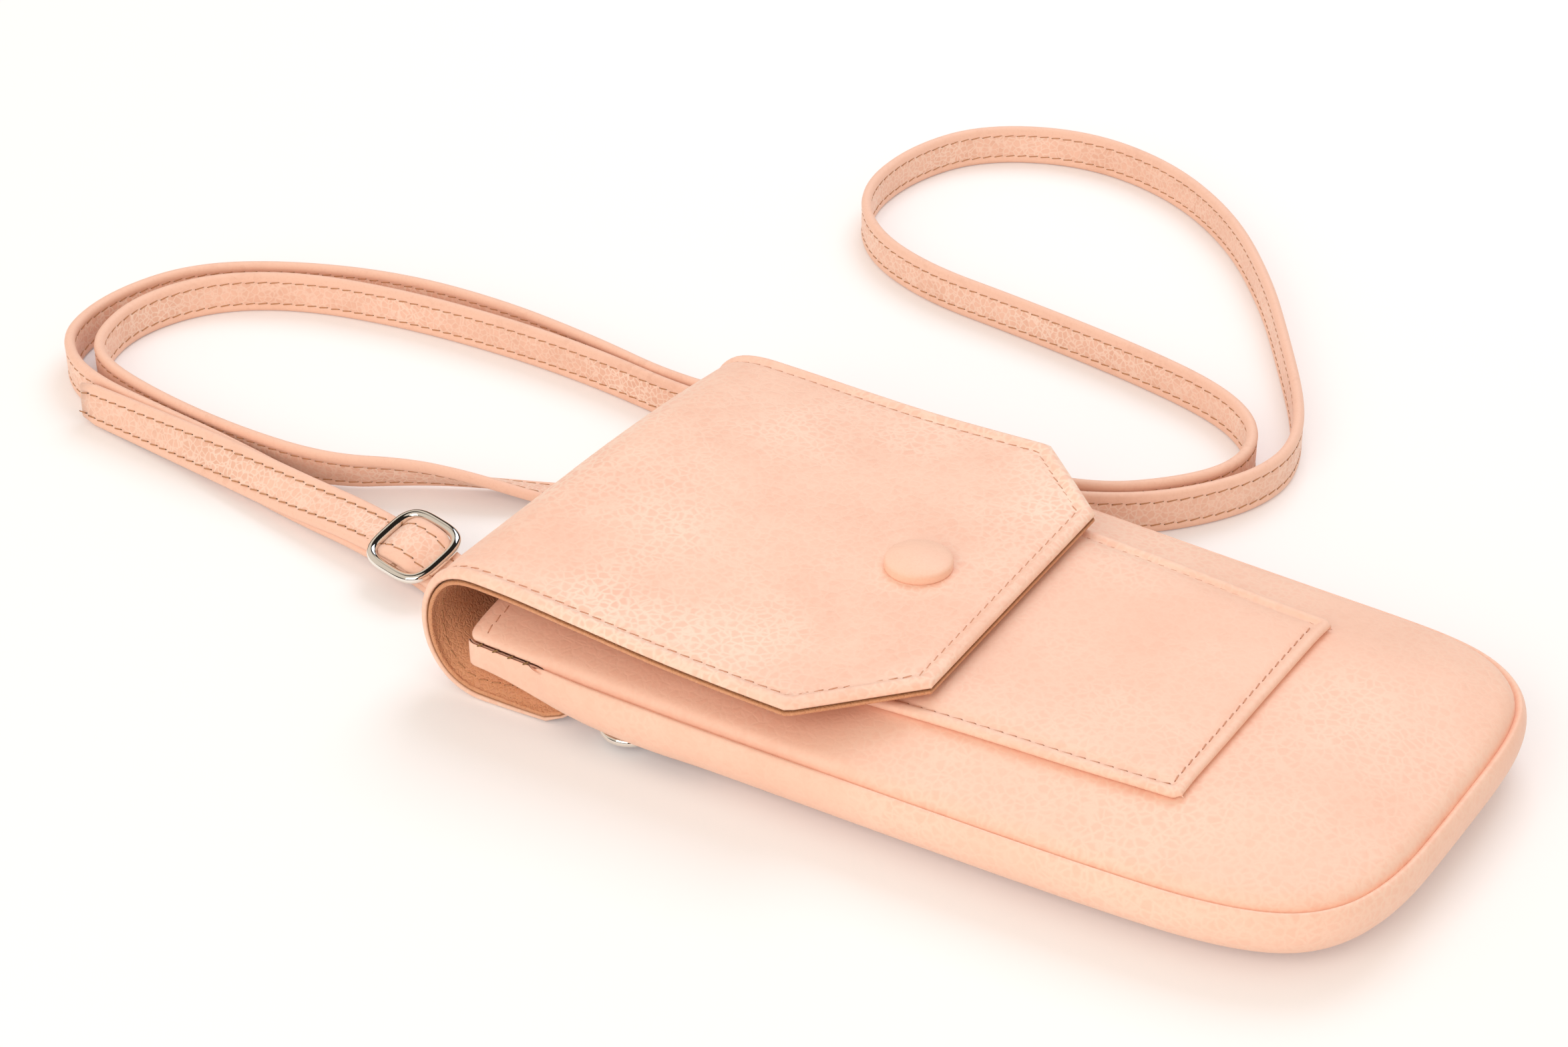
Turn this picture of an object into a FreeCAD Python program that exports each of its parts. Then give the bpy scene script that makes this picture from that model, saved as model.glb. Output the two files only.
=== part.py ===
import FreeCAD
import Part
import Sketcher
import math
import os

from FreeCAD import Placement, Rotation, Vector

# A soft leather phone pouch lying on its back, front up. X runs from the mouth (-X) to the rounded
# bottom (+X), Y across, Z up. The back strip turns over the mouth in an open fold and becomes the flap.
doc = FreeCAD.newDocument("phone_pouch")

# Driving dimensions in millimetres and degrees
sheet = doc.addObject("Spreadsheet::Sheet", "dims")
DRIVING = [
    ("mouth_x", -92.2, "mouth edge of the pouch"),
    ("bottom_x", 102.9, "outermost line of the rounded bottom"),
    ("mouth_width", 114.0, "widest outline at the mouth"),
    ("bottom_width", 106.0, "widest outline at the bottom"),
    ("corner_radius", 29.0, "rounded bottom corners"),
    ("leather", 1.3, "outer leather"),
    ("lining", 0.8, "lining leather"),
    ("seam_height", 15.5, "front seam above the table"),
    ("crown_height", 21.5, "highest line of the front panel"),
    ("base_inset", 9.0, "how far the flat base is drawn in from the widest outline"),
    ("back_edge", 3.0, "height of the turned-up edge of the back panel"),
    ("lining_recess", 2.5, "lining ends this far inside the mouth"),
    ("ramp_start", -28.4, "back strip leaves the table here"),
    ("ramp_end", -46.4, "back strip is fully raised here"),
    ("ramp_rise", 5.8, "room under the raised strip for rings and two strap layers"),
    ("mouth_lift", 0.2, "slope of the back panel where it passes the start of the fold"),
    ("strip_lining", 1.2, "lining of strip and flap"),
    ("strip_inset", 9.5, "back strip drawn in from the widest outline"),
    ("strip_neck", -58.4, "back strip starts to widen towards the fold here"),
    ("flap_narrower", 1.6, "flap and fold are this much narrower than the mouth"),
    ("fold_radius", 12.6, "outside of the open fold at the mouth"),
    ("fold_reach", -102.9, "outermost line of the fold"),
    ("flap_drop", 3.4, "flap falls this much from the fold to the button"),
    ("flap_level", -43.4, "flap is level from here on"),
    ("flap_front", 4.8, "straight front edge of the flap"),
    ("flap_front_width", 71.5, "length of the straight front edge"),
    ("flap_chamfer", 20.5, "how far the slanted flap corners run back"),
    ("pocket_mouth", -28.4, "open edge of the card pocket, under the flap"),
    ("pocket_end", 60.2, "closed end of the card pocket"),
    ("pocket_width", 82.0, "card pocket at its mouth"),
    ("pocket_end_width", 69.0, "card pocket at its closed end"),
    ("pocket_corner", 4.0, "card pocket corners"),
    ("pocket_leather", 1.3, "card pocket leather"),
    ("button_x", -17.4, "centre of the button and the magnetic snap"),
    ("button_diameter", 14.6, "leather-covered button"),
    ("button_rim", 1.5, "straight rim of the button"),
    ("button_dome", 2.0, "dome above that rim"),
    ("snap_diameter", 13.0, "metal snap halves"),
    ("snap_plate", 0.9, "upper snap half"),
    ("snap_gap", 0.1, "between the closed snap halves"),
    ("stud_diameter", 4.0, "stud of the upper snap half"),
    ("stud_clearance", 0.7, "round the stud in the lower half"),
    ("stud_bottom_gap", 0.2, "under the stud"),
    ("ring_wire", 2.0, "D ring wire"),
    ("ring_inside", 9.0, "D ring inside, along its bar"),
    ("ring_bend", 1.8, "bend of the wire beside the bar"),
    ("ring_inset", 15.0, "D ring bar drawn in from the widest outline at the mouth"),
    ("ring_reach", 14.0, "outermost line of a D ring from its bar"),
    ("ring_x", -55.4, "D rings along the pouch"),
    ("tab_leather", 1.7, "one layer of a ring tab"),
    ("tab_width", 5.0, "ring tab across"),
    ("tab_length", 13.0, "sewn length of a ring tab"),
    ("wire_clearance", 0.15, "round a wire in its leather loop"),
    ("strap_width", 10.4, "strap"),
    ("strap_thickness", 2.6, "strap"),
    ("layer_gap", 0.2, "between the two strap layers at the slider"),
    ("end_width", 5.0, "narrowed strap end on its ring"),
    ("end_length", 9.0, "narrowed strap end"),
    ("strap_crossing", 8.65, "strap goes under the fold this far inside its end on the ring"),
    ("slider_length", 18.3, "slider along the strap"),
    ("slider_wire", 2.0, "slider wire"),
    ("slider_corner", 6.0, "slider corners, outside"),
    ("window_corner", 2.4, "corners of the two slider windows"),
    ("slider_bow", 0.9, "bow of the slider sides"),
    ("slider_clearance", 0.8, "strap to slider side"),
    ("strap_to_bar", 0.3, "strap to slider bars"),
    ("slider_x", -127.7, "slider centre"),
    ("slider_y", -27.4, "slider centre"),
    ("slider_height", 8.9, "slider centre"),
    ("slider_yaw", -9.0, "slider turned about the vertical"),
    ("slider_pitch", 4.0, "slider end towards the pouch dips"),
    ("slider_tilt", 17.0, "far side of the slider lifts"),
]
for row, (name, value, note) in enumerate(DRIVING, start=1):
    sheet.set("A%d" % row, name)
    sheet.set("B%d" % row, "%g" % value)
    sheet.set("C%d" % row, note)
    sheet.setAlias("B%d" % row, name)
doc.recompute()


class Sizes:
    pass


# The same numbers, read back from the sheet for the pieces that are shaped in code
d = Sizes()
for name, value, note in DRIVING:
    setattr(d, name, sheet.get(name))

strip_thickness = d.leather + d.strip_lining
skin = d.leather + d.lining
flap_width = d.mouth_width - d.flap_narrower
flap_top = d.ramp_rise + 2 * d.fold_radius
flap_flat_top = flap_top - d.flap_drop
flap_under = flap_flat_top - strip_thickness
fold_x = d.fold_reach + d.fold_radius
fold_z = d.ramp_rise + d.fold_radius
pocket_top = d.crown_height + d.pocket_leather
FAR = 300.0

nodes = []


def node(label, shape, placement=None):
    """A sub-part shaped in code."""
    feature = doc.addObject("Part::Feature", label)
    feature.Label = label
    feature.Shape = shape
    if placement is not None:
        feature.Placement = placement
    nodes.append(feature)
    return feature


def origin_plane(body, role):
    return [p for p in body.Origin.OriginFeatures if p.Role == role][0]


def sketch_on(body, role, name):
    sketch = body.newObject("Sketcher::SketchObject", name)
    sketch.AttachmentSupport = [(origin_plane(body, role), "")]
    sketch.MapMode = "FlatFace"
    return sketch


def new_body(label):
    body = doc.addObject("PartDesign::Body", label)
    body.Label = label
    nodes.append(body)
    return body


def prism(points, along):
    """A straight solid on a closed outline of points."""
    return Part.Face(Part.makePolygon(points + [points[0]])).extrude(along)


# Plan outline of the pouch
def side_y(x):
    """Half width of the widest outline at x."""
    share = (x - d.mouth_x) / (d.bottom_x - d.mouth_x)
    return (d.mouth_width + (d.bottom_width - d.mouth_width) * share) / 2


def outline(inset, start_x, level):
    """Closed outline drawn in by inset, from start_x to the rounded bottom."""
    end_x = d.bottom_x - inset
    start_y = side_y(start_x) - inset
    end_y = side_y(end_x) - inset
    radius = max(d.corner_radius - inset, 2.0)
    slant = math.atan2(start_y - end_y, end_x - start_x)
    turn = math.pi / 2 - slant
    reach = radius * math.tan(turn / 2)
    centre_x = end_x - radius
    centre_y = end_y - reach
    side_x = end_x - reach * math.cos(slant)
    side_end_y = end_y + reach * math.sin(slant)
    middle_x = centre_x + radius * math.cos(turn / 2)
    middle_y = centre_y + radius * math.sin(turn / 2)

    def at(x, y):
        return Vector(x, y, level)

    return Part.Wire([
        Part.LineSegment(at(start_x, -start_y), at(side_x, -side_end_y)).toShape(),
        Part.Arc(at(side_x, -side_end_y), at(middle_x, -middle_y), at(end_x, -centre_y)).toShape(),
        Part.LineSegment(at(end_x, -centre_y), at(end_x, centre_y)).toShape(),
        Part.Arc(at(end_x, centre_y), at(middle_x, middle_y), at(side_x, side_end_y)).toShape(),
        Part.LineSegment(at(side_x, side_end_y), at(start_x, start_y)).toShape(),
        Part.LineSegment(at(start_x, start_y), at(start_x, -start_y)).toShape(),
    ])


# Puffed cross-section of the pouch, as inset and height from its base to its crown
widest = (strip_thickness + d.seam_height) / 2
crown_gain = d.crown_height - d.seam_height
PROFILE = [
    (d.base_inset, strip_thickness),
    (d.base_inset * 0.42, strip_thickness + 1.6),
    (d.base_inset * 0.08, strip_thickness + 4.2),
    (0.0, widest),
    (1.2, d.seam_height),
    (5.0, d.seam_height + crown_gain * 0.52),
    (13.0, d.seam_height + crown_gain * 0.85),
    (26.0, d.crown_height),
]


def shrunk(depth):
    """The profile moved inwards by depth, square to itself; outwards where depth is negative."""
    moved = []
    for i, (inset, height) in enumerate(PROFILE):
        before = PROFILE[max(i - 1, 0)]
        after = PROFILE[min(i + 1, len(PROFILE) - 1)]
        step_in = after[0] - before[0]
        step_up = after[1] - before[1]
        size = math.hypot(step_in, step_up)
        if i == 0:
            moved.append((inset + depth * 0.5, height + depth))
        elif i == len(PROFILE) - 1:
            moved.append((inset + depth * 0.5, height - depth))
        else:
            moved.append((inset + depth * step_up / size, height - depth * step_in / size))
    return moved


def pillow(depth, start_x):
    """Solid of the puffed pouch, depth inside its skin."""
    return Part.makeLoft([outline(i, start_x, z) for i, z in shrunk(depth)], True, True)


def above_ramp(rise):
    """Everything over the back strip's upper face, moved up by rise, and rising beside the fold."""
    low = strip_thickness + rise
    beside_fold = d.mouth_lift * (FAR + fold_x)
    points = [
        Vector(-FAR, -FAR, low + d.ramp_rise + beside_fold),
        Vector(fold_x, -FAR, low + d.ramp_rise),
        Vector(d.ramp_end, -FAR, low + d.ramp_rise),
        Vector(d.ramp_start, -FAR, low),
        Vector(FAR, -FAR, low),
        Vector(FAR, -FAR, FAR),
        Vector(-FAR, -FAR, FAR),
    ]
    return prism(points, Vector(0, 2 * FAR, 0))


def over(height):
    return Part.makeBox(2 * FAR, 2 * FAR, FAR, Vector(-FAR, -FAR, height))


# Pouch skin and lining, each cut at its seams into back, gusset and front
outside = pillow(0.0, d.mouth_x).common(above_ramp(0.0))
hollow = pillow(d.leather, d.mouth_x - 20).common(above_ramp(d.leather))
lining_out = pillow(d.leather, d.mouth_x + d.lining_recess).common(above_ramp(d.leather))
lining_in = pillow(skin, d.mouth_x - 20).common(above_ramp(skin))
turned_up = above_ramp(d.back_edge)
front_half = over(d.seam_height)
for prefix, layer in (("pouch", outside.cut(hollow)), ("lining", lining_out.cut(lining_in))):
    node(prefix + "_back", layer.cut(turned_up))
    node(prefix + "_gusset", layer.common(turned_up).cut(front_half))
    node(prefix + "_front", layer.common(front_half))

# Card pocket, a patch that follows the crowned front panel
patch_plan = [
    Vector(d.pocket_mouth, -d.pocket_width / 2, 0),
    Vector(d.pocket_end, -d.pocket_end_width / 2, 0),
    Vector(d.pocket_end, d.pocket_end_width / 2, 0),
    Vector(d.pocket_mouth, d.pocket_width / 2, 0),
]
patch = prism(patch_plan, Vector(0, 0, FAR))
end_edges = [e for e in patch.Edges if e.BoundBox.ZLength > 1 and e.CenterOfMass.x > d.button_x]
patch = patch.makeFillet(d.pocket_corner, end_edges)
raised = pillow(-d.pocket_leather, d.mouth_x).common(patch).common(over(d.seam_height))
node("card_pocket", raised.cut(pillow(0.0, d.mouth_x - 20)))

# Back strip, fold and flap, outer leather and lining
def strip_layer(low, high):
    """The back strip between two heights above its own underside."""
    points = [
        Vector(fold_x, -FAR, d.ramp_rise + low),
        Vector(d.ramp_end, -FAR, d.ramp_rise + low),
        Vector(d.ramp_start, -FAR, low),
        Vector(FAR, -FAR, low),
        Vector(FAR, -FAR, high),
        Vector(d.ramp_start, -FAR, high),
        Vector(d.ramp_end, -FAR, d.ramp_rise + high),
        Vector(fold_x, -FAR, d.ramp_rise + high),
    ]
    return prism(points, Vector(0, 2 * FAR, 0))


def strip_plan():
    """The back strip seen from above: flap width at the fold, then inside the pouch's outline."""
    half = flap_width / 2
    neck = side_y(d.strip_neck) - d.strip_inset
    points = [
        Vector(fold_x, -half, -1),
        Vector(d.strip_neck, -neck, -1),
        Vector(d.strip_neck, neck, -1),
        Vector(fold_x, half, -1),
    ]
    root = prism(points, Vector(0, 0, FAR))
    back = Part.Face(outline(d.strip_inset, d.strip_neck, -1)).extrude(Vector(0, 0, FAR))
    return root.fuse(back).removeSplitter()


def fold_layer(outer, inner):
    """Half a tube that turns the strip over the mouth."""
    low = Vector(fold_x, -flap_width / 2, fold_z)
    across = Vector(0, 1, 0)
    tube = Part.makeCylinder(outer, flap_width, low, across)
    tube = tube.cut(Part.makeCylinder(inner, flap_width, low, across))
    return tube.common(Part.makeBox(FAR, 2 * FAR, 2 * FAR, Vector(fold_x - FAR, -FAR, -FAR)))


def flap_layer(high, low):
    """The flap between two depths below its upper face."""
    points = [
        Vector(fold_x, -FAR, flap_top - high),
        Vector(d.flap_level, -FAR, flap_flat_top - high),
        Vector(d.flap_front, -FAR, flap_flat_top - high),
        Vector(d.flap_front, -FAR, flap_flat_top - low),
        Vector(d.flap_level, -FAR, flap_flat_top - low),
        Vector(fold_x, -FAR, flap_top - low),
    ]
    return prism(points, Vector(0, 2 * FAR, 0))


def flap_plan():
    """The flap seen from above, with its two slanted front corners."""
    half = flap_width / 2
    front = d.flap_front_width / 2
    corner = d.flap_front - d.flap_chamfer
    points = [
        Vector(fold_x, -half, 0),
        Vector(corner, -half, 0),
        Vector(d.flap_front, -front, 0),
        Vector(d.flap_front, front, 0),
        Vector(corner, half, 0),
        Vector(fold_x, half, 0),
    ]
    return prism(points, Vector(0, 0, FAR))


strip_outline = strip_plan()
flap_outline = flap_plan()
node("back_strip", strip_layer(0.0, d.leather).common(strip_outline))
node("back_strip_lining", strip_layer(d.leather, strip_thickness).common(strip_outline))
node("fold", fold_layer(d.fold_radius, d.fold_radius - d.leather))
node("fold_lining", fold_layer(d.fold_radius - d.leather, d.fold_radius - strip_thickness))
node("flap", flap_layer(0.0, d.leather).common(flap_outline))
node("flap_lining", flap_layer(d.leather, strip_thickness).common(flap_outline))


# Turned pieces of the closure, each a half profile spun about its own upright axis
def turned(label, corners, height):
    """Corners are pairs of expressions, radius and height, round a closed half profile."""
    body = new_body(label)
    sketch = sketch_on(body, "XZ_Plane", label + "_profile")
    start = [Vector(1.0 + i % 2, i, 0) for i in range(len(corners))]
    for i, point in enumerate(start):
        sketch.addGeometry(Part.LineSegment(point, start[(i + 1) % len(start)]), False)
    for i in range(len(corners)):
        sketch.addConstraint(Sketcher.Constraint("Coincident", i, 2, (i + 1) % len(corners), 1))
    for i, (radius, level) in enumerate(corners):
        k = sketch.addConstraint(Sketcher.Constraint("DistanceX", -1, 1, i, 1, start[i].x))
        sketch.setExpression("Constraints[%d]" % k, radius)
        k = sketch.addConstraint(Sketcher.Constraint("DistanceY", -1, 1, i, 1, start[i].y))
        sketch.setExpression("Constraints[%d]" % k, level)
    spin = body.newObject("PartDesign::Revolution", label + "_turned")
    spin.Profile = sketch
    spin.ReferenceAxis = (sketch, ["V_Axis"])
    spin.Angle = 360
    body.Placement = Placement(Vector(d.button_x, 0, height), Rotation())
    body.setExpression("Placement.Base.x", "dims.button_x")
    return body


turned("button_cap", [
    ("0", "0"),
    ("dims.button_diameter / 2", "0"),
    ("dims.button_diameter / 2", "dims.button_rim * 0.6"),
    ("dims.button_diameter / 2 - 0.5", "dims.button_rim"),
    ("dims.button_diameter * 0.36", "dims.button_rim + dims.button_dome * 0.55"),
    ("dims.button_diameter * 0.2", "dims.button_rim + dims.button_dome * 0.88"),
    ("0", "dims.button_rim + dims.button_dome"),
], flap_flat_top)

stud_text = "%s - dims.snap_plate - (dims.crown_height + dims.pocket_leather) - dims.stud_bottom_gap"
under_text = ("(dims.ramp_rise + 2 * dims.fold_radius - dims.flap_drop"
              " - dims.leather - dims.strip_lining)")
turned("snap_stud", [
    ("0", "0"),
    ("0", "-dims.snap_plate - (%s)" % (stud_text % under_text)),
    ("dims.stud_diameter / 2", "-dims.snap_plate - (%s)" % (stud_text % under_text)),
    ("dims.stud_diameter / 2", "-dims.snap_plate"),
    ("dims.snap_diameter / 2", "-dims.snap_plate"),
    ("dims.snap_diameter / 2", "0"),
], flap_under)

socket_text = "(%s - dims.snap_plate - dims.snap_gap - dims.crown_height - dims.pocket_leather)" % under_text
turned("snap_socket", [
    ("dims.stud_diameter / 2 + dims.stud_clearance", "0"),
    ("dims.snap_diameter / 2", "0"),
    ("dims.snap_diameter / 2", socket_text),
    ("dims.stud_diameter / 2 + dims.stud_clearance", socket_text),
], pocket_top)


# Wire frames: D rings and the slider
def bent_wire(corners, radii):
    """A closed wire of straight runs, with an arc of the given radius at each corner."""
    edges = []
    count = len(corners)
    ends = []
    for i in range(count):
        here = corners[i]
        back = (corners[i - 1] - here).normalize()
        ahead = (corners[(i + 1) % count] - here).normalize()
        half = math.acos(max(-1.0, min(1.0, back.dot(ahead)))) / 2
        reach = radii[i] / math.tan(half)
        middle = here + (back + ahead).normalize() * (radii[i] / math.sin(half) - radii[i])
        ends.append((here + back * reach, middle, here + ahead * reach))
    for i in range(count):
        edges.append(Part.Arc(*ends[i]).toShape())
        leave = ends[i][2]
        arrive = ends[(i + 1) % count][0]
        if (arrive - leave).Length > 1e-6:
            edges.append(Part.LineSegment(leave, arrive).toShape())
    return Part.Wire(edges)


def wire_solid(path, radius):
    """Round wire along a closed path."""
    start = path.Edges[0].valueAt(path.Edges[0].FirstParameter)
    way = path.Edges[0].tangentAt(path.Edges[0].FirstParameter)
    ring = Part.Wire(Part.makeCircle(radius, start, way))
    return path.makePipeShell([ring], True, False)


ring_radius = d.ring_wire / 2
loop_rim = ring_radius + d.wire_clearance + d.tab_leather
ring_z = d.ramp_rise - loop_rim
ring_half = d.ring_inside / 2 + ring_radius
ring_bar = d.mouth_width / 2 - d.ring_inset
ring_outer = ring_bar + d.ring_reach - ring_radius


def d_ring(side):
    """Bar towards the centre line, round end outwards; side is -1 near, 1 far."""
    round_end = ring_half - 0.05
    corners = [
        Vector(d.ring_x - ring_half, side * ring_bar, ring_z),
        Vector(d.ring_x + ring_half, side * ring_bar, ring_z),
        Vector(d.ring_x + ring_half, side * ring_outer, ring_z),
        Vector(d.ring_x - ring_half, side * ring_outer, ring_z),
    ]
    return wire_solid(bent_wire(corners, [d.ring_bend, d.ring_bend, round_end, round_end]), ring_radius)


def leather_loop(wire_at, inwards, across, width, length):
    """A folded leather end round a wire, with its two sewn layers running inwards."""
    up = Vector(0, 0, 1)
    hole = ring_radius + d.wire_clearance
    base = wire_at - across * (width / 2)
    eye = Part.makeCylinder(loop_rim, width, base, across)
    low = loop_rim - 2 * d.tab_leather
    corner = [
        base + up * low,
        base + inwards * (loop_rim + length) + up * low,
        base + inwards * (loop_rim + length) + up * loop_rim,
        base + up * loop_rim,
    ]
    layers = prism(corner, across * width)
    return eye.fuse(layers).cut(Part.makeCylinder(hole, width, base, across)).removeSplitter()


def strap_turn(wire_at):
    """The narrowed strap end turning round its ring, both layers lying towards the mouth."""
    base = wire_at - Vector(0, d.end_width / 2, 0)
    across = Vector(0, 1, 0)
    turn = Part.makeCylinder(layer_reach, d.end_width, base, across)
    for low in (-layer_reach, layer_reach - d.strap_thickness):
        corner = Vector(wire_at.x - layer_reach - d.end_length, base.y, wire_at.z + low)
        layer = Part.makeBox(layer_reach + d.end_length, d.end_width, d.strap_thickness, corner)
        turn = turn.fuse(layer)
    hole = Part.makeCylinder(ring_radius + d.wire_clearance, d.end_width, base, across)
    return turn.cut(hole).removeSplitter()


layer_reach = d.strap_thickness + d.layer_gap / 2
end_x = d.ring_x - ring_half
end_y = (ring_bar + d.ring_bend + ring_outer - ring_half) / 2
for side, word in ((-1, "near"), (1, "far")):
    node("ring_" + word, d_ring(side))
    bar_at = Vector(d.ring_x, side * ring_bar, ring_z)
    node("ring_tab_" + word, leather_loop(bar_at, Vector(0, -side, 0), Vector(1, 0, 0),
                                          d.tab_width, d.tab_length))
    node("strap_end_" + word, strap_turn(Vector(end_x, side * end_y, ring_z)))

# Slider: one casting, a bowed frame with a bar across its middle
slider_radius = d.slider_wire / 2
half_long = d.slider_length / 2 - slider_radius
slider_place = Placement(
    Vector(d.slider_x, d.slider_y, d.slider_height),
    Rotation(d.slider_yaw, d.slider_pitch, d.slider_tilt),
)
inner_wide = d.strap_width / 2 + d.slider_clearance
outer_wide = inner_wide + d.slider_wire
outer_long = d.slider_length / 2
window_end = outer_long - d.slider_wire
bow_radius = 30.0


def slider_edge(low, high, wide, corner):
    """Outline of the slider or of one window: square ends, sides bowed outwards."""
    middle = (low + high) / 2
    bowed = wide + d.slider_bow
    corners = [
        Vector(low, -wide, -slider_radius),
        Vector(middle, -bowed, -slider_radius),
        Vector(high, -wide, -slider_radius),
        Vector(high, wide, -slider_radius),
        Vector(middle, bowed, -slider_radius),
        Vector(low, wide, -slider_radius),
    ]
    return bent_wire(corners, [corner, bow_radius, corner, corner, bow_radius, corner])


plate = Part.Face(slider_edge(-outer_long, outer_long, outer_wide, d.slider_corner))
casting = plate.extrude(Vector(0, 0, d.slider_wire))
for low, high in ((-window_end, -slider_radius), (slider_radius, window_end)):
    corners = [
        Vector(low, -inner_wide, -slider_radius),
        Vector(high, -inner_wide, -slider_radius),
        Vector(high, inner_wide, -slider_radius),
        Vector(low, inner_wide, -slider_radius),
    ]
    window = Part.Face(bent_wire(corners, [d.window_corner] * 4))
    casting = casting.cut(window.extrude(Vector(0, 0, d.slider_wire)))
flat_edges = [e for e in casting.Edges if e.BoundBox.ZLength < 1e-6]
node("slider", casting.makeFillet(slider_radius * 0.8, flat_edges), slider_place)


# Strap: straight runs joined by tangent arcs, as large as the runs allow
ARC_SHARE = 0.45
half_strap = d.strap_thickness / 2


def route(points):
    """Lines and arcs along the points, as (start, middle or None, end), with the arcs' radii."""
    pieces = []
    radii = []
    last = points[0]
    for i in range(1, len(points) - 1):
        back = points[i - 1] - points[i]
        ahead = points[i + 1] - points[i]
        reach = ARC_SHARE * min(back.Length, ahead.Length)
        back.normalize()
        ahead.normalize()
        half = math.acos(max(-1.0, min(1.0, back.dot(ahead)))) / 2
        radius = reach * math.tan(half)
        radii.append(radius)
        start = points[i] + back * reach
        end = points[i] + ahead * reach
        middle = points[i] + (back + ahead).normalize() * (radius / math.sin(half) - radius)
        pieces.append((last, None, start))
        pieces.append((start, middle, end))
        last = end
    pieces.append((last, None, points[-1]))
    return pieces, radii


def ribbon(points, normal, width):
    """A flat band on the route: its thickness lies in the route's plane, its width along normal."""
    pieces, radii = route(points)
    left = []
    right = []
    length = 0.0
    for start, middle, end in pieces:
        if middle is None:
            side = normal.cross(end - start).normalize() * half_strap
            left.append(Part.LineSegment(start + side, end + side).toShape())
            right.append(Part.LineSegment(start - side, end - side).toShape())
            length += (end - start).Length
        else:
            arc = Part.Arc(start, middle, end).toShape()
            length += arc.Length
            spots = []
            for spot in (start, middle, end):
                spots.append((spot, (spot - arc.Curve.Center).normalize() * half_strap))
            turn = normal.dot((middle - start).cross(end - middle))
            sign = -1 if turn > 0 else 1
            left.append(Part.Arc(*[p + s * sign for p, s in spots]).toShape())
            right.append(Part.Arc(*[p - s * sign for p, s in spots]).toShape())
    first = Part.LineSegment(left[0].Vertexes[0].Point, right[0].Vertexes[0].Point).toShape()
    final = Part.LineSegment(left[-1].Vertexes[-1].Point, right[-1].Vertexes[-1].Point).toShape()
    face = Part.Face(Part.Wire(Part.__sortEdges__([first] + left + [final] + right)))
    solid = face.extrude(normal * width)
    return solid, length, radii


def section(centre, along, tilt, width=None):
    """The strap's rectangle square to along; tilt 0 lies flat and 90 stands on edge."""
    along = Vector(along).normalize()
    level = Vector(0, 0, 1).cross(along).normalize()
    rise = along.cross(level)
    angle = math.radians(tilt)
    wide = (level * math.cos(angle) + rise * math.sin(angle)) * ((width or d.strap_width) / 2)
    thick = (rise * math.cos(angle) - level * math.sin(angle)) * half_strap
    corners = [centre - wide - thick, centre + wide - thick, centre + wide + thick, centre - wide + thick]
    return Part.makePolygon(corners + [corners[0]])


def twisted(stations):
    """A strap that turns over as it goes, through stations of (centre, direction, tilt, width)."""
    return Part.makeLoft([section(*s) for s in stations], True, True)


# Strap in the slider: under one end bar, over the middle bar, under the other
under = -(slider_radius + d.strap_to_bar + half_strap)
over_bar = slider_radius + d.strap_to_bar + half_strap
pass_half = half_long + slider_radius + 5.0
step_out = half_long - 2 * slider_radius - d.strap_to_bar
edge_y = -d.strap_width / 2
pass_points = [
    Vector(-pass_half, edge_y, under),
    Vector(-step_out, edge_y, under),
    Vector(-2.0, edge_y, over_bar + 0.25),
    Vector(2.0, edge_y, over_bar + 0.25),
    Vector(step_out, edge_y, under),
    Vector(pass_half, edge_y, under),
]
hump = ribbon(pass_points, Vector(0, 1, 0), d.strap_width)[0]
node("strap_in_slider", hump, slider_place)

# The long stretch stands on edge on the table, from the kink at its left end round to the far side
LONG_ROUTE = [
    (-232.0, -11.8), (-246.0, -7.0), (-256.5, 3.5), (-258.5, 22.0), (-251.4, 42.0), (-232.4, 56.0),
    (-205.4, 66.0), (-176.4, 68.5), (-146.4, 66.0), (-119.4, 61.3), (-94.4, 64.2), (-62.4, 65.6),
    (-33.4, 67.0), (-13.4, 72.0), (-0.9, 82.5), (7.1, 94.0), (8.1, 106.0), (2.1, 117.5),
    (-11.4, 126.0), (-36.4, 131.8), (-69.4, 136.5), (-98.4, 139.5), (-120.4, 150.0), (-132.9, 168.0),
    (-133.9, 192.0), (-124.4, 214.0), (-99.4, 226.0), (-71.4, 221.5), (-45.4, 204.5), (-23.4, 179.0),
    (-6.4, 153.5), (9.1, 129.0), (15.6, 112.0), (14.4, 98.0), (7.1, 84.5), (-4.4, 72.5),
    (-21.4, 63.6), (-50.4, 61.2), (-82.4, 60.6), (-112.4, 57.4), (-141.4, 61.3), (-169.4, 62.0),
    (-199.4, 59.5), (-226.4, 53.0), (-244.4, 40.5), (-251.9, 22.0), (-248.4, 5.0), (-239.4, -4.0),
]
standing = d.strap_width / 2
long_points = [Vector(x, y, 0) for x, y in LONG_ROUTE]
long_strap, long_length, long_radii = ribbon(long_points, Vector(0, 0, 1), d.strap_width)
node("strap_long", long_strap)

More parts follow.
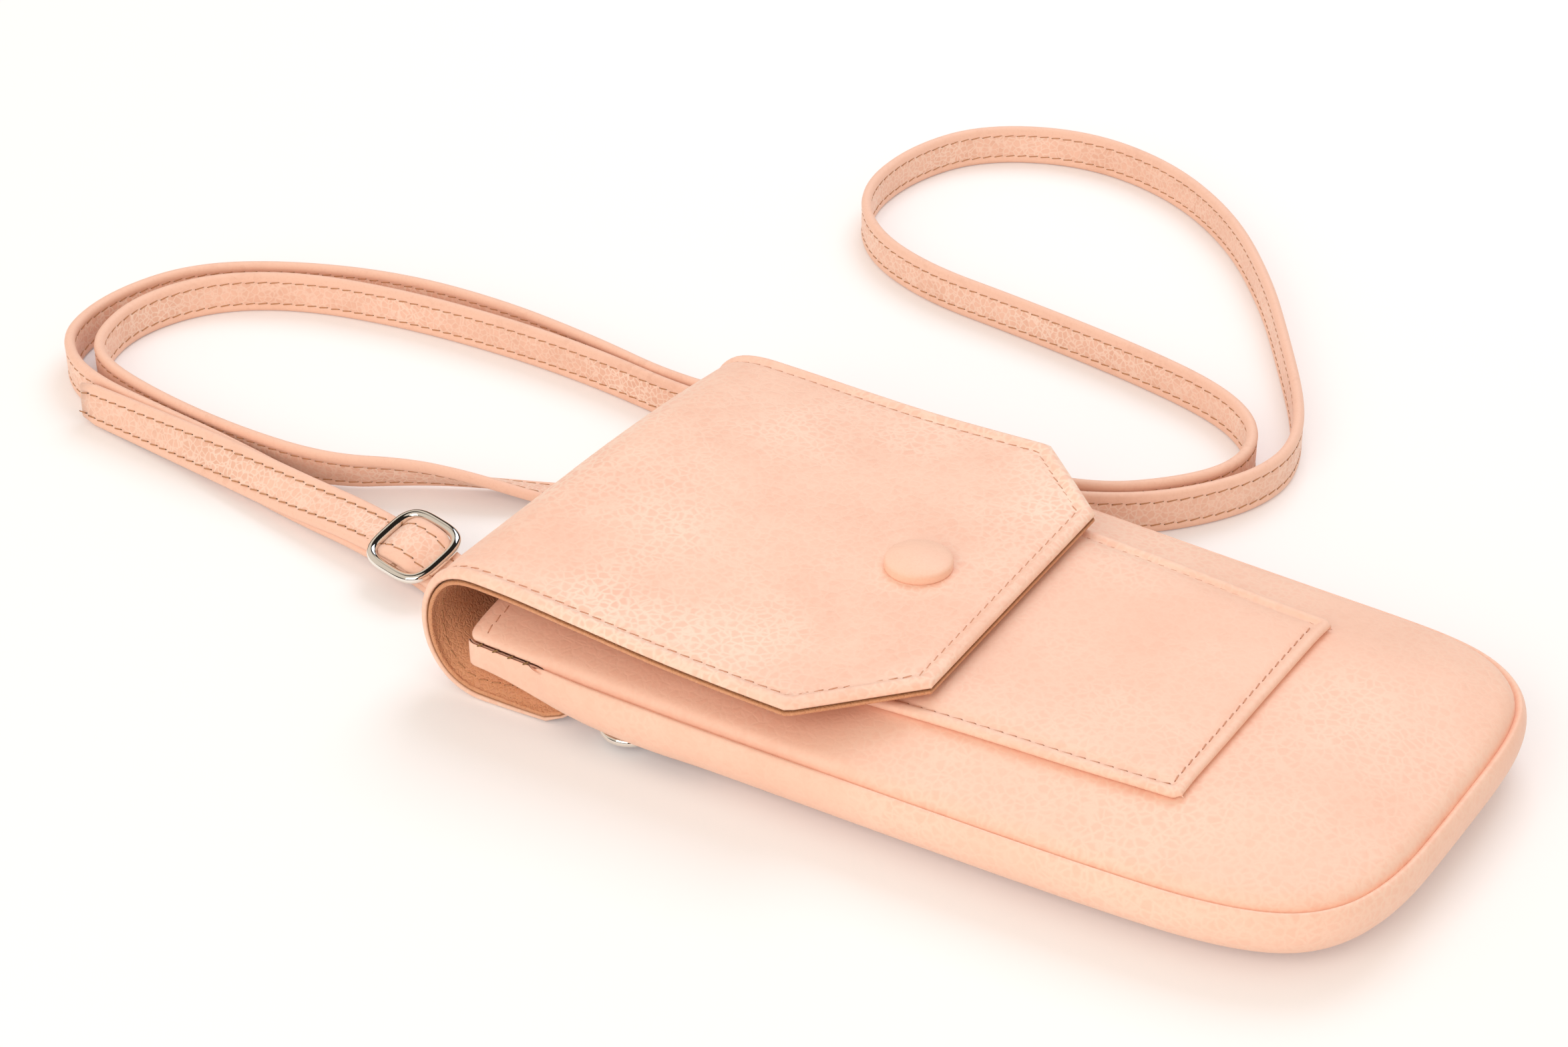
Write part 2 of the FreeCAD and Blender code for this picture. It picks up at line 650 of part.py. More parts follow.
# The strap's tail lies on the strap from the slider to its free end, both leaning over more and more
slider_along = slider_place.Rotation.multVec(Vector(1, 0, 0))
hump_left = slider_place.multVec(Vector(-pass_half, 0, under))
hump_right = slider_place.multVec(Vector(pass_half, 0, under))
layer_step = d.strap_thickness + d.layer_gap
TAIL_END = Vector(-235.0, -15.4, 0)
TAIL_STEPS = [(0.0, 86.0), (0.25, 76.0), (0.5, 58.0), (0.75, 37.0)]
tail = []
for share, tilt in TAIL_STEPS:
    angle = math.radians(tilt)
    resting = math.sin(angle) * d.strap_width / 2 + math.cos(angle) * (half_strap + layer_step) + 0.05
    centre = TAIL_END + (hump_left - TAIL_END) * share
    tail.append((Vector(centre.x, centre.y, resting), hump_left - TAIL_END, tilt))
tail.append((hump_left, slider_along, d.slider_tilt))
node("strap_tail", twisted(tail))


def layer_below(centre, along, tilt):
    """The station one strap layer behind the given one."""
    way = Vector(along).normalize()
    level = Vector(0, 0, 1).cross(way).normalize()
    rise = way.cross(level)
    angle = math.radians(tilt)
    thick = rise * math.cos(angle) - level * math.sin(angle)
    return (centre - thick * layer_step, along, tilt)


# The strap itself, from the long stretch behind its tail and straight on under the slider
near_start = Vector(long_points[0].x, long_points[0].y, standing)
stations = [(near_start, long_points[0] - long_points[1], 90.0)]
stations += [layer_below(*station) for station in tail[1:]]
slider_exit = layer_below(hump_right, slider_along, d.slider_tilt)
stations.append(slider_exit)
node("strap_near", twisted(stations))

# Two short layers from the slider under the fold to the near ring: the strap and its return
plate_x = end_x - layer_reach - d.end_length
low_z = ring_z - layer_reach + half_strap
high_z = low_z + layer_step
for label, level, first in (("strap_short", low_z, slider_exit[0]), ("strap_return", high_z, hump_right)):
    plate = Vector(plate_x, -end_y, level)
    crossing = Vector(d.fold_reach - 3.0, d.strap_crossing - end_y, level)
    node(label, twisted([
        (first, slider_along, d.slider_tilt),
        (crossing, plate - hump_right, 0.0),
        (plate, Vector(1, 0, 0), 0.0, d.end_width),
    ]))

# Far stretch: it stands behind the near one, then turns over and runs under the fold to the far ring
FAR_ROUTE = [
    (-219.4, -9.0, 5.3, 90.0), (-192.4, -11.6, 5.5, 94.0), (-166.4, -9.6, 5.8, 107.0),
    (-150.0, 0.8, 5.5, 122.0), (-137.5, 6.4, 4.7, 140.0), (-119.0, 14.5, 2.0, 172.0),
    (-105.0, 21.5, 1.6, 180.0), (-93.4, 27.5, 1.6, 180.0),
]
last = long_points[-1]
stations = [(Vector(last.x, last.y, standing), last - long_points[-2], 90.0)]
spots = [Vector(x, y, z) for x, y, z, tilt in FAR_ROUTE]
far_plate = Vector(plate_x, end_y, low_z)
for i, (x, y, z, tilt) in enumerate(FAR_ROUTE):
    ahead = spots[i + 1] if i + 1 < len(spots) else far_plate
    behind = spots[i - 1] if i > 0 else last
    stations.append((spots[i], ahead - Vector(behind.x, behind.y, ahead.z), tilt))
stations.append((far_plate, Vector(1, 0, 0), 180.0, d.end_width))
node("strap_far", twisted(stations))

# Every object must have come out whole before anything is written
doc.recompute()
for thing in doc.Objects:
    if "Invalid" in thing.State or "Error" in thing.State:
        raise RuntimeError("%s did not recompute: %s" % (thing.Label, thing.State))
for thing in nodes:
    if thing.Shape.isNull() or not thing.Shape.isValid():
        raise RuntimeError("%s has no valid shape" % thing.Label)
    if len(thing.Shape.Solids) != 1:
        raise RuntimeError("%s has %d solids" % (thing.Label, len(thing.Shape.Solids)))

cut_area = d.strap_width * d.strap_thickness
print("long strap: length %.1f, volume %.0f, section times length %.0f"
      % (long_length, long_strap.Volume, cut_area * long_length))
print("strap radii: least %.1f, in order %s"
      % (min(long_radii), " ".join("%.0f" % r for r in long_radii)))

os.makedirs("parts", exist_ok=True)
for thing in nodes:
    thing.Shape.exportStep("parts/%s.step" % thing.Label)
print("%d parts written" % len(nodes))
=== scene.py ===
import math
import bmesh
import bpy
import numpy as np
from mathutils import Matrix, Vector
from mathutils.kdtree import KDTree


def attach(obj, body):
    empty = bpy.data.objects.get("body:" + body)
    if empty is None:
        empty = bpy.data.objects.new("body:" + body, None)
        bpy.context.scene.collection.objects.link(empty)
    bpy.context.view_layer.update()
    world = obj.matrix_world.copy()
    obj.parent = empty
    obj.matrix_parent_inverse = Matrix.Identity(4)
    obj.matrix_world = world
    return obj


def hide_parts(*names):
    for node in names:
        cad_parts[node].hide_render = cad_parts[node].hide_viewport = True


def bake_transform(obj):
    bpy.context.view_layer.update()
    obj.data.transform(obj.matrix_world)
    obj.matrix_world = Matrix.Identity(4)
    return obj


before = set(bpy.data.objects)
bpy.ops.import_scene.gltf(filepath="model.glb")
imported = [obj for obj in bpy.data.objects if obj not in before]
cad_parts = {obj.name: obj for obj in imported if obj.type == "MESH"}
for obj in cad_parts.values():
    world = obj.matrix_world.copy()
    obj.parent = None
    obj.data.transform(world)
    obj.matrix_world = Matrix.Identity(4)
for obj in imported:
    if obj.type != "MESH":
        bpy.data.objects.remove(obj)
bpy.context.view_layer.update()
bpy.ops.object.select_all(action="DESELECT")
bpy.context.scene.view_settings.view_transform = "Standard"

# Camera: a short telephoto at about a third of a right angle above the table, seen from the pouch's
# near bottom corner. Its place was fitted to the straight edges of the pouch in the photograph.
bpy.ops.object.camera_add(location=(0.2659, -0.4921, 0.4064))
camera = bpy.context.object
camera.name = "camera"
camera.data.sensor_width = 36
camera.data.lens = 76.66
gaze = Vector((-0.07225, 0.0346, 0.0)) - camera.location
camera_lean = Matrix.Rotation(math.radians(-0.2), 4, "Z").to_quaternion()
camera.rotation_mode = "QUATERNION"
camera.rotation_quaternion = gaze.to_track_quat("-Z", "Y") @ camera_lean
bpy.context.scene.camera = camera

# Pouch: three panels of natural cowhide, sewn edge to edge round a U: a puffed front, a rolled gusset band
# and a flat back, each with a thinner lining. Front and gusset meet in a deep crease; at the mouth both end
# in turned lips.
SEAM = [(-91.6, -56.0), (-84.0, -56.1), (-75.0, -56.3), (-66.0, -56.5), (-41.0, -56.3), (-15.0, -55.5),
        (11.0, -54.7), (40.0, -53.6), (60.0, -52.4), (72.0, -51.1), (83.0, -48.4), (91.0, -44.0),
        (96.2, -37.6), (99.2, -29.6), (100.8, -20.0), (101.2, -8.0), (101.4, 6.0), (101.5, 18.0),
        (101.0, 28.5), (99.0, 37.4), (94.4, 44.0), (87.2, 48.7), (78.0, 50.9), (66.0, 51.6), (50.0, 52.0),
        (20.0, 53.0), (-5.0, 54.0), (-35.0, 55.1), (-66.0, 56.1), (-75.0, 56.2), (-84.0, 56.1),
        (-91.6, 56.0)]
MOUTH = -91.6
LIP_STEPS = [0, 0.05, 0.15, 0.3, 0.55, 0.9, 1.4, 2.0, 2.8, 3.8]
SEAM_HEIGHT = 14.4
LIP_RISE = 0.9
FRONT_THICK, GUSSET_THICK, BACK_THICK, LINING_THICK = 1.9, 1.0, 1.3, 0.8
GLUE_GAP = 0.05
# A rim that is out of sight isn't rounded: its margin is this wide.
WIDE_MARGIN = 9.0


def smooth_lines(name, lines, steps):
    """Points along smooth lines, read back from NURBS splines that have the given control points."""
    curve = bpy.data.curves.new(name, "CURVE")
    curve.dimensions = "3D"
    for line in lines:
        spline = curve.splines.new("NURBS")
        spline.points.add(len(line) - 1)
        for point, place in zip(spline.points, line):
            point.co = (place[0] / 1000, place[1] / 1000, place[2] / 1000, 1.0)
        spline.order_u = 3
        spline.use_endpoint_u = True
        spline.resolution_u = steps
    holder = bpy.data.objects.new(name, curve)
    bpy.context.collection.objects.link(holder)
    bpy.context.view_layer.update()
    mesh = bpy.data.meshes.new_from_object(holder)
    places = np.array([v.co for v in mesh.vertices]) * 1000
    bpy.data.objects.remove(holder)
    bpy.data.curves.remove(curve)
    bpy.data.meshes.remove(mesh)
    return places.reshape(len(lines), -1, 3)


def unit(rows):
    """Directions of length 1."""
    return rows / np.maximum(np.linalg.norm(rows, axis=-1, keepdims=True), 1e-9)


def distance_along(line):
    """How far each point of a line is from its start."""
    steps = np.linalg.norm(np.diff(line, axis=0), axis=1)
    return np.concatenate(([0.0], np.cumsum(steps)))


def edge_distance(spots, line):
    """Distance in plan from each spot to a line of points."""
    flat = np.asarray(spots, float).reshape(-1, 2)
    best = np.full(len(flat), 1e9)
    for a, b in zip(line[:-1], line[1:]):
        run = b - a
        share = np.clip(((flat - a) @ run) / max(run @ run, 1e-9), 0, 1)
        best = np.minimum(best, np.linalg.norm(flat - a - share[:, None] * run, axis=1))
    return best.reshape(np.asarray(spots).shape[:-1])


def ease(value, start, end):
    """0 before start, 1 after end, with a soft change between."""
    share = np.clip((value - start) / (end - start), 0, 1)
    return share * share * (3 - 2 * share)


def new_piece(name, places, faces):
    """A smooth mesh object from places and faces."""
    mesh = bpy.data.meshes.new(name)
    mesh.from_pydata([tuple(p) for p in np.asarray(places) / 1000], [], faces)
    mesh.update()
    piece = bpy.data.objects.new(name, mesh)
    bpy.context.collection.objects.link(piece)
    work = bmesh.new()
    work.from_mesh(mesh)
    bmesh.ops.remove_doubles(work, verts=work.verts, dist=1e-6)
    bmesh.ops.recalc_face_normals(work, faces=work.faces)
    work.to_mesh(mesh)
    work.free()
    mesh.polygons.foreach_set("use_smooth", [True] * len(mesh.polygons))
    return piece


def paint_points(piece, places, name, values):
    """A number at each mesh point, found again by its place after doubles were merged."""
    tree = KDTree(len(places))
    for i, place in enumerate(places):
        tree.insert(place / 1000, i)
    tree.balance()
    found = piece.data.attributes.new(name, "FLOAT", "POINT")
    for i, v in enumerate(piece.data.vertices):
        found.data[i].value = values[tree.find(v.co)[1]]


def leather_sheet(name, face, thickness, margin, depth=0.0, facing=(0, 0, 1), glued=0):
    """A leather sheet under an outer face of places. Its rim is rounded where margin runs out to nought. Glue
    shows at the rim of its outer side where glued is 1 and of its inner side where it is -1."""
    up = unit(np.cross(np.gradient(face, axis=0), np.gradient(face, axis=1)))
    middle = up[up.shape[0] // 2, up.shape[1] // 2]
    if middle @ np.array(facing, float) < 0:
        up = -up
    half = thickness / 2
    full = np.sqrt(1 - (1 - np.clip(margin / half, 0, 1)) ** 2)[..., None]
    places = np.concatenate([(face - up * (depth + half * (1 - full))).reshape(-1, 3),
                             (face - up * (depth + half * (1 + full))).reshape(-1, 3)])
    rows, columns = margin.shape
    back = rows * columns
    faces = []
    for i in range(rows - 1):
        for j in range(columns - 1):
            k = i * columns + j
            faces.append((k, k + 1, k + columns + 1, k + columns))
            faces.append((back + k, back + k + columns, back + k + columns + 1, back + k + 1))
    rim = [j for j in range(columns)] + [i * columns + columns - 1 for i in range(1, rows)]
    rim += [(rows - 1) * columns + j for j in range(columns - 2, -1, -1)]
    rim += [i * columns for i in range(rows - 2, -1, -1)]
    faces += [(a, b, back + b, back + a) for a, b in zip(rim[:-1], rim[1:])]
    piece = new_piece(name, places, faces)
    if glued:
        line = np.clip((margin - 0.05) / 0.15, 0, 1).reshape(-1)
        paint_points(piece, places, "glue", np.concatenate([line * (glued > 0), line * (glued < 0)]))
    return piece


# The seam in plan, with close rows at the mouth, where the lips are rounded.
seam = smooth_lines("pouch_seam", [[(x, y, 0.0) for x, y in SEAM]], 6)[0][:, :2]
half = len(seam) // 2
seam_near, seam_far = seam[:half], seam[::-1][:half]
lip_x = MOUTH + np.array(LIP_STEPS)
lip_near = np.stack([lip_x, np.interp(lip_x, seam_near[:60, 0], seam_near[:60, 1])], axis=1)
lip_far = np.stack([lip_x, np.interp(lip_x, seam_far[:60, 0], seam_far[:60, 1])], axis=1)
seam_near = np.concatenate([lip_near, seam_near[seam_near[:, 0] > lip_x[-1] + 0.5]])
seam_far = np.concatenate([lip_far, seam_far[seam_far[:, 0] > lip_x[-1] + 0.5]])
seam = np.concatenate([seam_near, seam_far[::-1]])
seam_way = unit(np.gradient(seam, axis=0))
seam_out = np.stack([seam_way[:, 1], -seam_way[:, 0]], axis=1)
half_rows = len(seam_near)


def front_height(spots):
    """Height of the front panel's face: it rolls up out of the crease and flattens over the phone."""
    inside = edge_distance(spots, seam)
    x, y = spots[..., 0], spots[..., 1]
    waves = 0.16 * np.sin(x / 13 + y / 21) * np.sin(y / 15 - 1) + 0.12 * np.sin(x / 7.5 - y / 9 + 2)
    waves = waves + 0.2 * np.sin((x + 0.7 * y) / 3.4) * ease(x, 62, 84) * ease(y, -14, 14)
    lip = 1 - ease(x, -74.0, -70.5)
    crease = (2.5 - LIP_RISE * lip) * (1 - np.exp(-inside / (0.75 + 0.8 * lip)))
    shoulder = 1.6 * (1 - np.exp(-inside / 5.0))
    crown = 2.9 * ease(inside, 0, 27)
    mouth_drop = 0.9 * np.clip(1 - (x - MOUTH) / 2.6, 0, 1) ** 2
    return (SEAM_HEIGHT + LIP_RISE * lip + crease + shoulder + crown + waves * ease(inside, 3, 16)
            - mouth_drop)


IN_STEPS = [0, 0.05, 0.15, 0.3, 0.5, 0.75, 1.05, 1.4, 1.9, 2.6, 3.5, 4.6, 6, 8, 10.5, 13.5, 17, 21, 25.5,
            30.5, 36, 42, 48.5]
PANEL_WIDTH = 110


def from_both_edges(steps, width):
    """Shares of a width: the same steps in from each edge, and the middle."""
    return np.array([s / width for s in steps] + [0.5] + [1 - s / width for s in reversed(steps)])


shares = from_both_edges(IN_STEPS, PANEL_WIDTH)


def across_panel(near, far):
    """Rows of spots from a near edge to a far edge, from the mouth to the bottom."""
    return near[:, None, :] + (far - near)[:, None, :] * shares[None, :, None]


LIP_CORNER = 2.4
from_corner = np.clip(LIP_CORNER - (seam_near[:, 0] - MOUTH), 0, LIP_CORNER)
rounded = LIP_CORNER - np.sqrt(LIP_CORNER ** 2 - from_corner ** 2)
front_near = seam_near + np.stack([np.zeros(len(rounded)), rounded], axis=1)
front_far = seam_far - np.stack([np.zeros(len(rounded)), rounded], axis=1)
front_spots = across_panel(front_near, front_far)
front_face = np.concatenate([front_spots, front_height(front_spots)[..., None]], axis=2)
front_margin = edge_distance(front_spots, np.concatenate([front_near[::-1], front_far]))
front_margin = np.where(front_spots[..., 0] < -71.5, front_margin, front_margin + 0.5)
pouch_front = leather_sheet("front_panel", front_face, FRONT_THICK, front_margin)
lined = front_face[front_spots[:, 24, 0] > MOUTH + 2.5][:, 9:-9]
front_lining = leather_sheet("front_lining", lined, LINING_THICK, np.full(lined.shape[:2], WIDE_MARGIN),
                             FRONT_THICK + GLUE_GAP)

BACK_LOW, BACK_RISE = 2.6, 5.8


def back_level(x):
    """Height of the back panel: it climbs over the rings and the strap ends towards the mouth."""
    return BACK_LOW + BACK_RISE * (1 - ease(x, -46.4, -28.4))


# The gusset's section, from inside the crease over its crest and round its belly to the back: how far out
# from the seam and how high. At the lips it is pressed flat, and over the rings it is dented.
ROLL = [(-1.7, 12.2), (-1.2, 13.3), (-0.35, 14.4), (0.9, 15.8), (1.9, 14.6), (2.4, 12.4), (2.3, 9.8),
        (1.5, 7.4), (0.1, 5.4), (-1.9, 3.9), (-4.6, 2.9), (-8.4, 2.6)]
RING_X = -55.4
roll = smooth_lines("gusset_roll", [[(o, 0.0, z) for o, z in ROLL]], 3)[0]
roll_high = roll[:, 2]
crest = int(roll_high.argmax())
gusset_x = seam[:, None, 0] + np.zeros(len(roll))
roll_out = np.broadcast_to(roll[:, 0], gusset_x.shape)
lip = 1 - ease(gusset_x, -74.0, -71.0)
plump = 0.06 + 0.56 * ease(gusset_x, -73.4, -71.4) + 0.38 * ease(gusset_x, -72.0, -60.0)
lift = 4.4 * (1 - ease(gusset_x, -89.0, -60.0)) - 1.1 * np.exp(-((gusset_x + 51.0) / 11.0) ** 2)
lift = lift * (1 - (roll_high - BACK_LOW) / 12.4)
tucked = (back_level(gusset_x) - BACK_LOW - lift) * ease(-roll_out, 0.6, 5.0)
dent = 1.2 * np.exp(-((gusset_x - RING_X) / 9.0) ** 4)
dent = dent * ease(5.8 - roll_high, 0.0, 1.1) * (1 - ease(-roll_out, 2.5, 5.0))
spread = np.where(roll_out > -0.5, roll_out * plump, roll_out)
spread = spread - 0.9 * np.clip(1 - (gusset_x - MOUTH) / 2.2, 0, 1) ** 2
lip_drop = LIP_RISE * lip * ease(roll_high, 9.0, 14.0)
gusset_face = np.stack([gusset_x + seam_out[:, None, 0] * spread,
                        seam[:, None, 1] + seam_out[:, None, 1] * spread,
                        roll_high + lift + np.maximum(tucked, 0) + dent - lip_drop], axis=2)
below = np.concatenate([np.zeros(crest), distance_along(roll[crest:])])
gusset_margin = np.minimum(gusset_x - MOUTH, below + WIDE_MARGIN * (1 - lip))
# At the lips the band has no turning inside the crease: it ends in a cut, rounded edge.
gusset_face[:, :crest] += (gusset_face[:, crest:crest + 1] - gusset_face[:, :crest]) * lip[:, :crest, None]
pouch_gusset = leather_sheet("gusset_band", gusset_face, GUSSET_THICK, gusset_margin, facing=(1, 0, 0))
gusset_lining = leather_sheet("gusset_lining", gusset_face[3:-3, crest + 3:-3], LINING_THICK,
                              gusset_margin[3:-3, crest + 3:-3], GUSSET_THICK + GLUE_GAP, facing=(1, 0, 0))

BACK_INSET = 8.0
back_near = seam_near - seam_out[:half_rows] * BACK_INSET
back_far = seam_far - seam_out[::-1][:half_rows] * BACK_INSET
back_spots = across_panel(back_near, back_far)
back_face = np.concatenate([back_spots, back_level(back_spots[..., 0])[..., None]], axis=2)
back_margin = back_spots[..., 0] - back_spots[0, 0, 0]
pouch_back = leather_sheet("back_panel", back_face, BACK_THICK, back_margin, facing=(0, 0, -1))
lined = back_face[4:, 6:-6]
back_lining = leather_sheet("back_lining", lined, LINING_THICK, np.full(lined.shape[:2], WIDE_MARGIN),
                            BACK_THICK + GLUE_GAP, facing=(0, 0, -1))


def linear(hex_code):
    """An sRGB hex colour as linear red, green, blue and alpha."""
    shares = [int(hex_code[i:i + 2], 16) / 255 for i in (0, 2, 4)]
    return tuple(s / 12.92 if s <= 0.04045 else ((s + 0.055) / 1.055) ** 2.4 for s in shares) + (1.0,)


def add_node(tree, kind, inputs=None, **settings):
    """Adds a node with its settings; an input is a value or a socket to link."""
    node = tree.nodes.new(kind)
    for key, value in settings.items():
        setattr(node, key, value)
    for key, value in (inputs or {}).items():
        if isinstance(value, bpy.types.NodeSocket):
            tree.links.new(value, node.inputs[key])
        else:
            node.inputs[key].default_value = value
    return node


def natural_cowhide(name, deep, mid, pale, cell, width, relief, worn, speckle, roughness):
    """Vegetable tanned cowhide with a clear finish, so that its grain shows. Cells of the given size are
    pinker than the pale lines between them, whose width is a share of the cell. The lines show from the
    first worn share to the second, in patches; on turned edges they are stretched away, and there the colour
    is painted lighter as a painted highlight on their rounded rims. Speckle darkens the pores, and relief is
    the depth of the lines."""
    material = bpy.data.materials.new(name)
    material.use_nodes = True
    tree = material.node_tree
    shader = tree.nodes["Principled BSDF"]
    place = add_node(tree, "ShaderNodeTexCoord").outputs["Object"]
    turned_edge_and_highlight = add_node(tree, "ShaderNodeAttribute", attribute_name="turned_edge_and_highlight").outputs["Fac"]

    # Lines between cells, whose walls wander by a part of the cell.
    wander = add_node(tree, "ShaderNodeTexNoise", {"Vector": place, "Scale": 700.0 / cell, "Detail": 2.0})
    shift = add_node(tree, "ShaderNodeVectorMath", {0: wander.outputs["Color"], 1: [cell * 0.0009] * 3},
                     operation="MULTIPLY")
    warped = add_node(tree, "ShaderNodeVectorMath", {0: place, 1: shift.outputs[0]},
                      operation="ADD").outputs[0]
    pebble = add_node(tree, "ShaderNodeTexVoronoi", {"Vector": warped, "Scale": 1000.0 / cell},
                      feature="DISTANCE_TO_EDGE")
    grain = add_node(tree, "ShaderNodeMath", {0: 1.0, 1: turned_edge_and_highlight}, operation="SUBTRACT")
    line = add_node(tree, "ShaderNodeMapRange", {"Value": pebble.outputs["Distance"], "From Max": width,
                                                 "To Min": grain.outputs[0], "To Max": 0.0},
                    interpolation_type="SMOOTHSTEP")

    # The dye lies in clouds of about 25 mm and takes a little differently in each cell.
    flesh = add_node(tree, "ShaderNodeTexVoronoi", {"Vector": warped, "Scale": 1000.0 / cell})
    cloud = add_node(tree, "ShaderNodeTexNoise", {"Vector": place, "Scale": 1000.0 / 25, "Detail": 4.0,
                                                  "Roughness": 0.6})
    cells = add_node(tree, "ShaderNodeMath", {0: flesh.outputs["Color"], 1: 0.22, 2: -0.1},
                     operation="MULTIPLY_ADD")
    mottle = add_node(tree, "ShaderNodeMath", {0: cloud.outputs["Fac"], 1: cells.outputs[0]}, operation="ADD")
    # Turned edges are painted lighter here: a painted highlight on their rounded rims.
    mottle = add_node(tree, "ShaderNodeMath", {0: turned_edge_and_highlight, 1: 0.2, 2: mottle.outputs[0]},
                      operation="MULTIPLY_ADD")
    tone = add_node(tree, "ShaderNodeValToRGB", {"Fac": mottle.outputs[0]})
    tone.color_ramp.elements[0].position = 0.28
    tone.color_ramp.elements[0].color = linear(deep)
    tone.color_ramp.elements[1].position = 0.66
    tone.color_ramp.elements[1].color = linear(mid)

    # Rubbed patches are about 40 mm wide (24 to the metre).
    patches = add_node(tree, "ShaderNodeTexNoise", {"Vector": place, "Scale": 24.0, "Detail": 3.0})
    rubbed = add_node(tree, "ShaderNodeMapRange", {"Value": patches.outputs["Fac"], "From Min": 0.44,
                                                   "From Max": 0.7, "To Min": worn[0], "To Max": worn[1]})
    amount = add_node(tree, "ShaderNodeMath", {0: line.outputs[0], 1: rubbed.outputs[0]},
                      operation="MULTIPLY")
    skin = add_node(tree, "ShaderNodeMix", {"Factor": amount.outputs[0], "A": tone.outputs["Color"],
                                            "B": linear(pale)}, data_type="RGBA")

    # Real pores are about 0.2 mm apart; to show, they are drawn at about 0.7 mm (1500 to the metre).
    pores = add_node(tree, "ShaderNodeTexNoise", {"Vector": place, "Scale": 1500.0, "Detail": 2.0})
    dot = add_node(tree, "ShaderNodeMapRange", {"Value": pores.outputs["Fac"], "From Min": 0.52,
                                                "From Max": 0.7, "To Max": speckle})
    dotted = add_node(tree, "ShaderNodeMix", {"Factor": dot.outputs[0], "A": skin.outputs["Result"],
                                              "B": linear("D9967C")}, data_type="RGBA")

    # Cut edges that are glued together show a darker line.
    glue = add_node(tree, "ShaderNodeAttribute", attribute_name="glue").outputs["Fac"]
    edge = add_node(tree, "ShaderNodeMix", {"Factor": glue, "A": dotted.outputs["Result"],
                                            "B": linear("B07A54")}, data_type="RGBA")
    tree.links.new(edge.outputs["Result"], shader.inputs["Base Color"])
    height = add_node(tree, "ShaderNodeMath", {0: line.outputs[0], 1: -0.8, 2: pores.outputs["Fac"]},
                      operation="MULTIPLY_ADD")
    bump = add_node(tree, "ShaderNodeBump", {"Height": height.outputs[0], "Strength": 1.0,
                                             "Distance": relief / 1000})
    tree.links.new(bump.outputs["Normal"], shader.inputs["Normal"])
    shader.inputs["Roughness"].default_value = roughness
    shader.inputs["Specular IOR Level"].default_value = 0.35
    shader.inputs["Sheen Weight"].default_value = 0.08
    return material


# The panels are smooth and evenly pale, with a faint crackle. The lining is browner, dull and rough: it is
# the split side of the hide, without the finish.
pouch_hide = natural_cowhide("pouch_cowhide", deep="F9CBB4", mid="FDD2BC", pale="FFE4D0", cell=2.0,
                             width=0.27, relief=0.03, worn=(0.08, 0.5), speckle=0.05, roughness=0.5)
lining_hide = natural_cowhide("lining_cowhide", deep="D29168", mid="DCA078", pale="E6B18D", cell=0.9,
                              width=0.27, relief=0.12, worn=(0.1, 0.6), speckle=0.3, roughness=0.75)
for piece, node in ((pouch_front, "pouch_front"), (pouch_gusset, "pouch_gusset"), (pouch_back, "pouch_back")):
    piece.data.materials.append(pouch_hide)
    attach(piece, "pouch")
    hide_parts(node)
for piece, node in ((front_lining, "lining_front"), (gusset_lining, "lining_gusset"),
                    (back_lining, "lining_back")):
    piece.data.materials.append(lining_hide)
    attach(piece, "pouch")
    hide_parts(node)

# Lip stitching: a fine machine row of peach linen holds the front lip along the mouth. Coarse slanted hand
# stitches of dark waxed linen close the lips at both sides.


def at_distance(spots, gone, line):
    """Points of a line at given distances along it."""
    return np.stack([np.interp(spots, gone, column) for column in np.asarray(line).T], axis=1)


def stitching(name, rows, pitch, size, radius, slant):
    """Short slanted threads in one mesh. A row is its points and the outward direction at each point. Each
    thread dips into a hole at both ends, which are marked for a painted shade of the hole."""
    bead = [(-0.5, 0.3), (-0.4, 0.8), (-0.3, 1.0), (0.3, 1.0), (0.4, 0.8), (0.5, 0.3)]
    sides, sink, probe = 5, 0.25, 0.4
    lean = math.radians(slant)
    places, faces, shaded_ends = [], [], []
    for line, outward in rows:
        gone = distance_along(line)
        spots = np.arange(pitch / 2, gone[-1], pitch)
        at = at_distance(spots, gone, line)
        up = unit(at_distance(spots, gone, outward))
        way = unit(at_distance(spots + probe, gone, line) - at_distance(spots - probe, gone, line))
        side = unit(np.cross(up, way))
        thread = way * math.cos(lean) + side * math.sin(lean)
        beside = np.cross(up, thread)
        for p, t, b, u in zip(at, thread, beside, up):
            start = len(places)
            for share, full in bead:
                middle = p + t * share * size + u * (radius * 0.45 - sink * (2 * share) ** 4)
                for k in range(sides):
                    turn = k * math.tau / sides
                    places.append(middle + (b * math.cos(turn) + u * math.sin(turn)) * radius * full)
                    shaded_ends.append(1.0 if abs(share) > 0.38 else 0.0)
            for ring in range(len(bead) - 1):
                low, high = start + ring * sides, start + (ring + 1) * sides
                for k in range(sides):
                    after = (k + 1) % sides
                    faces.append((low + k, low + after, high + after, high + k))
    piece = new_piece(name, places, faces)
    # The marked ends are painted dark: painted shade where the thread sinks into its hole.
    painted_hole_shade = piece.data.attributes.new("painted_hole_shade", "FLOAT", "POINT")
    painted_hole_shade.data.foreach_set("value", np.array(shaded_ends, np.float32))
    return piece


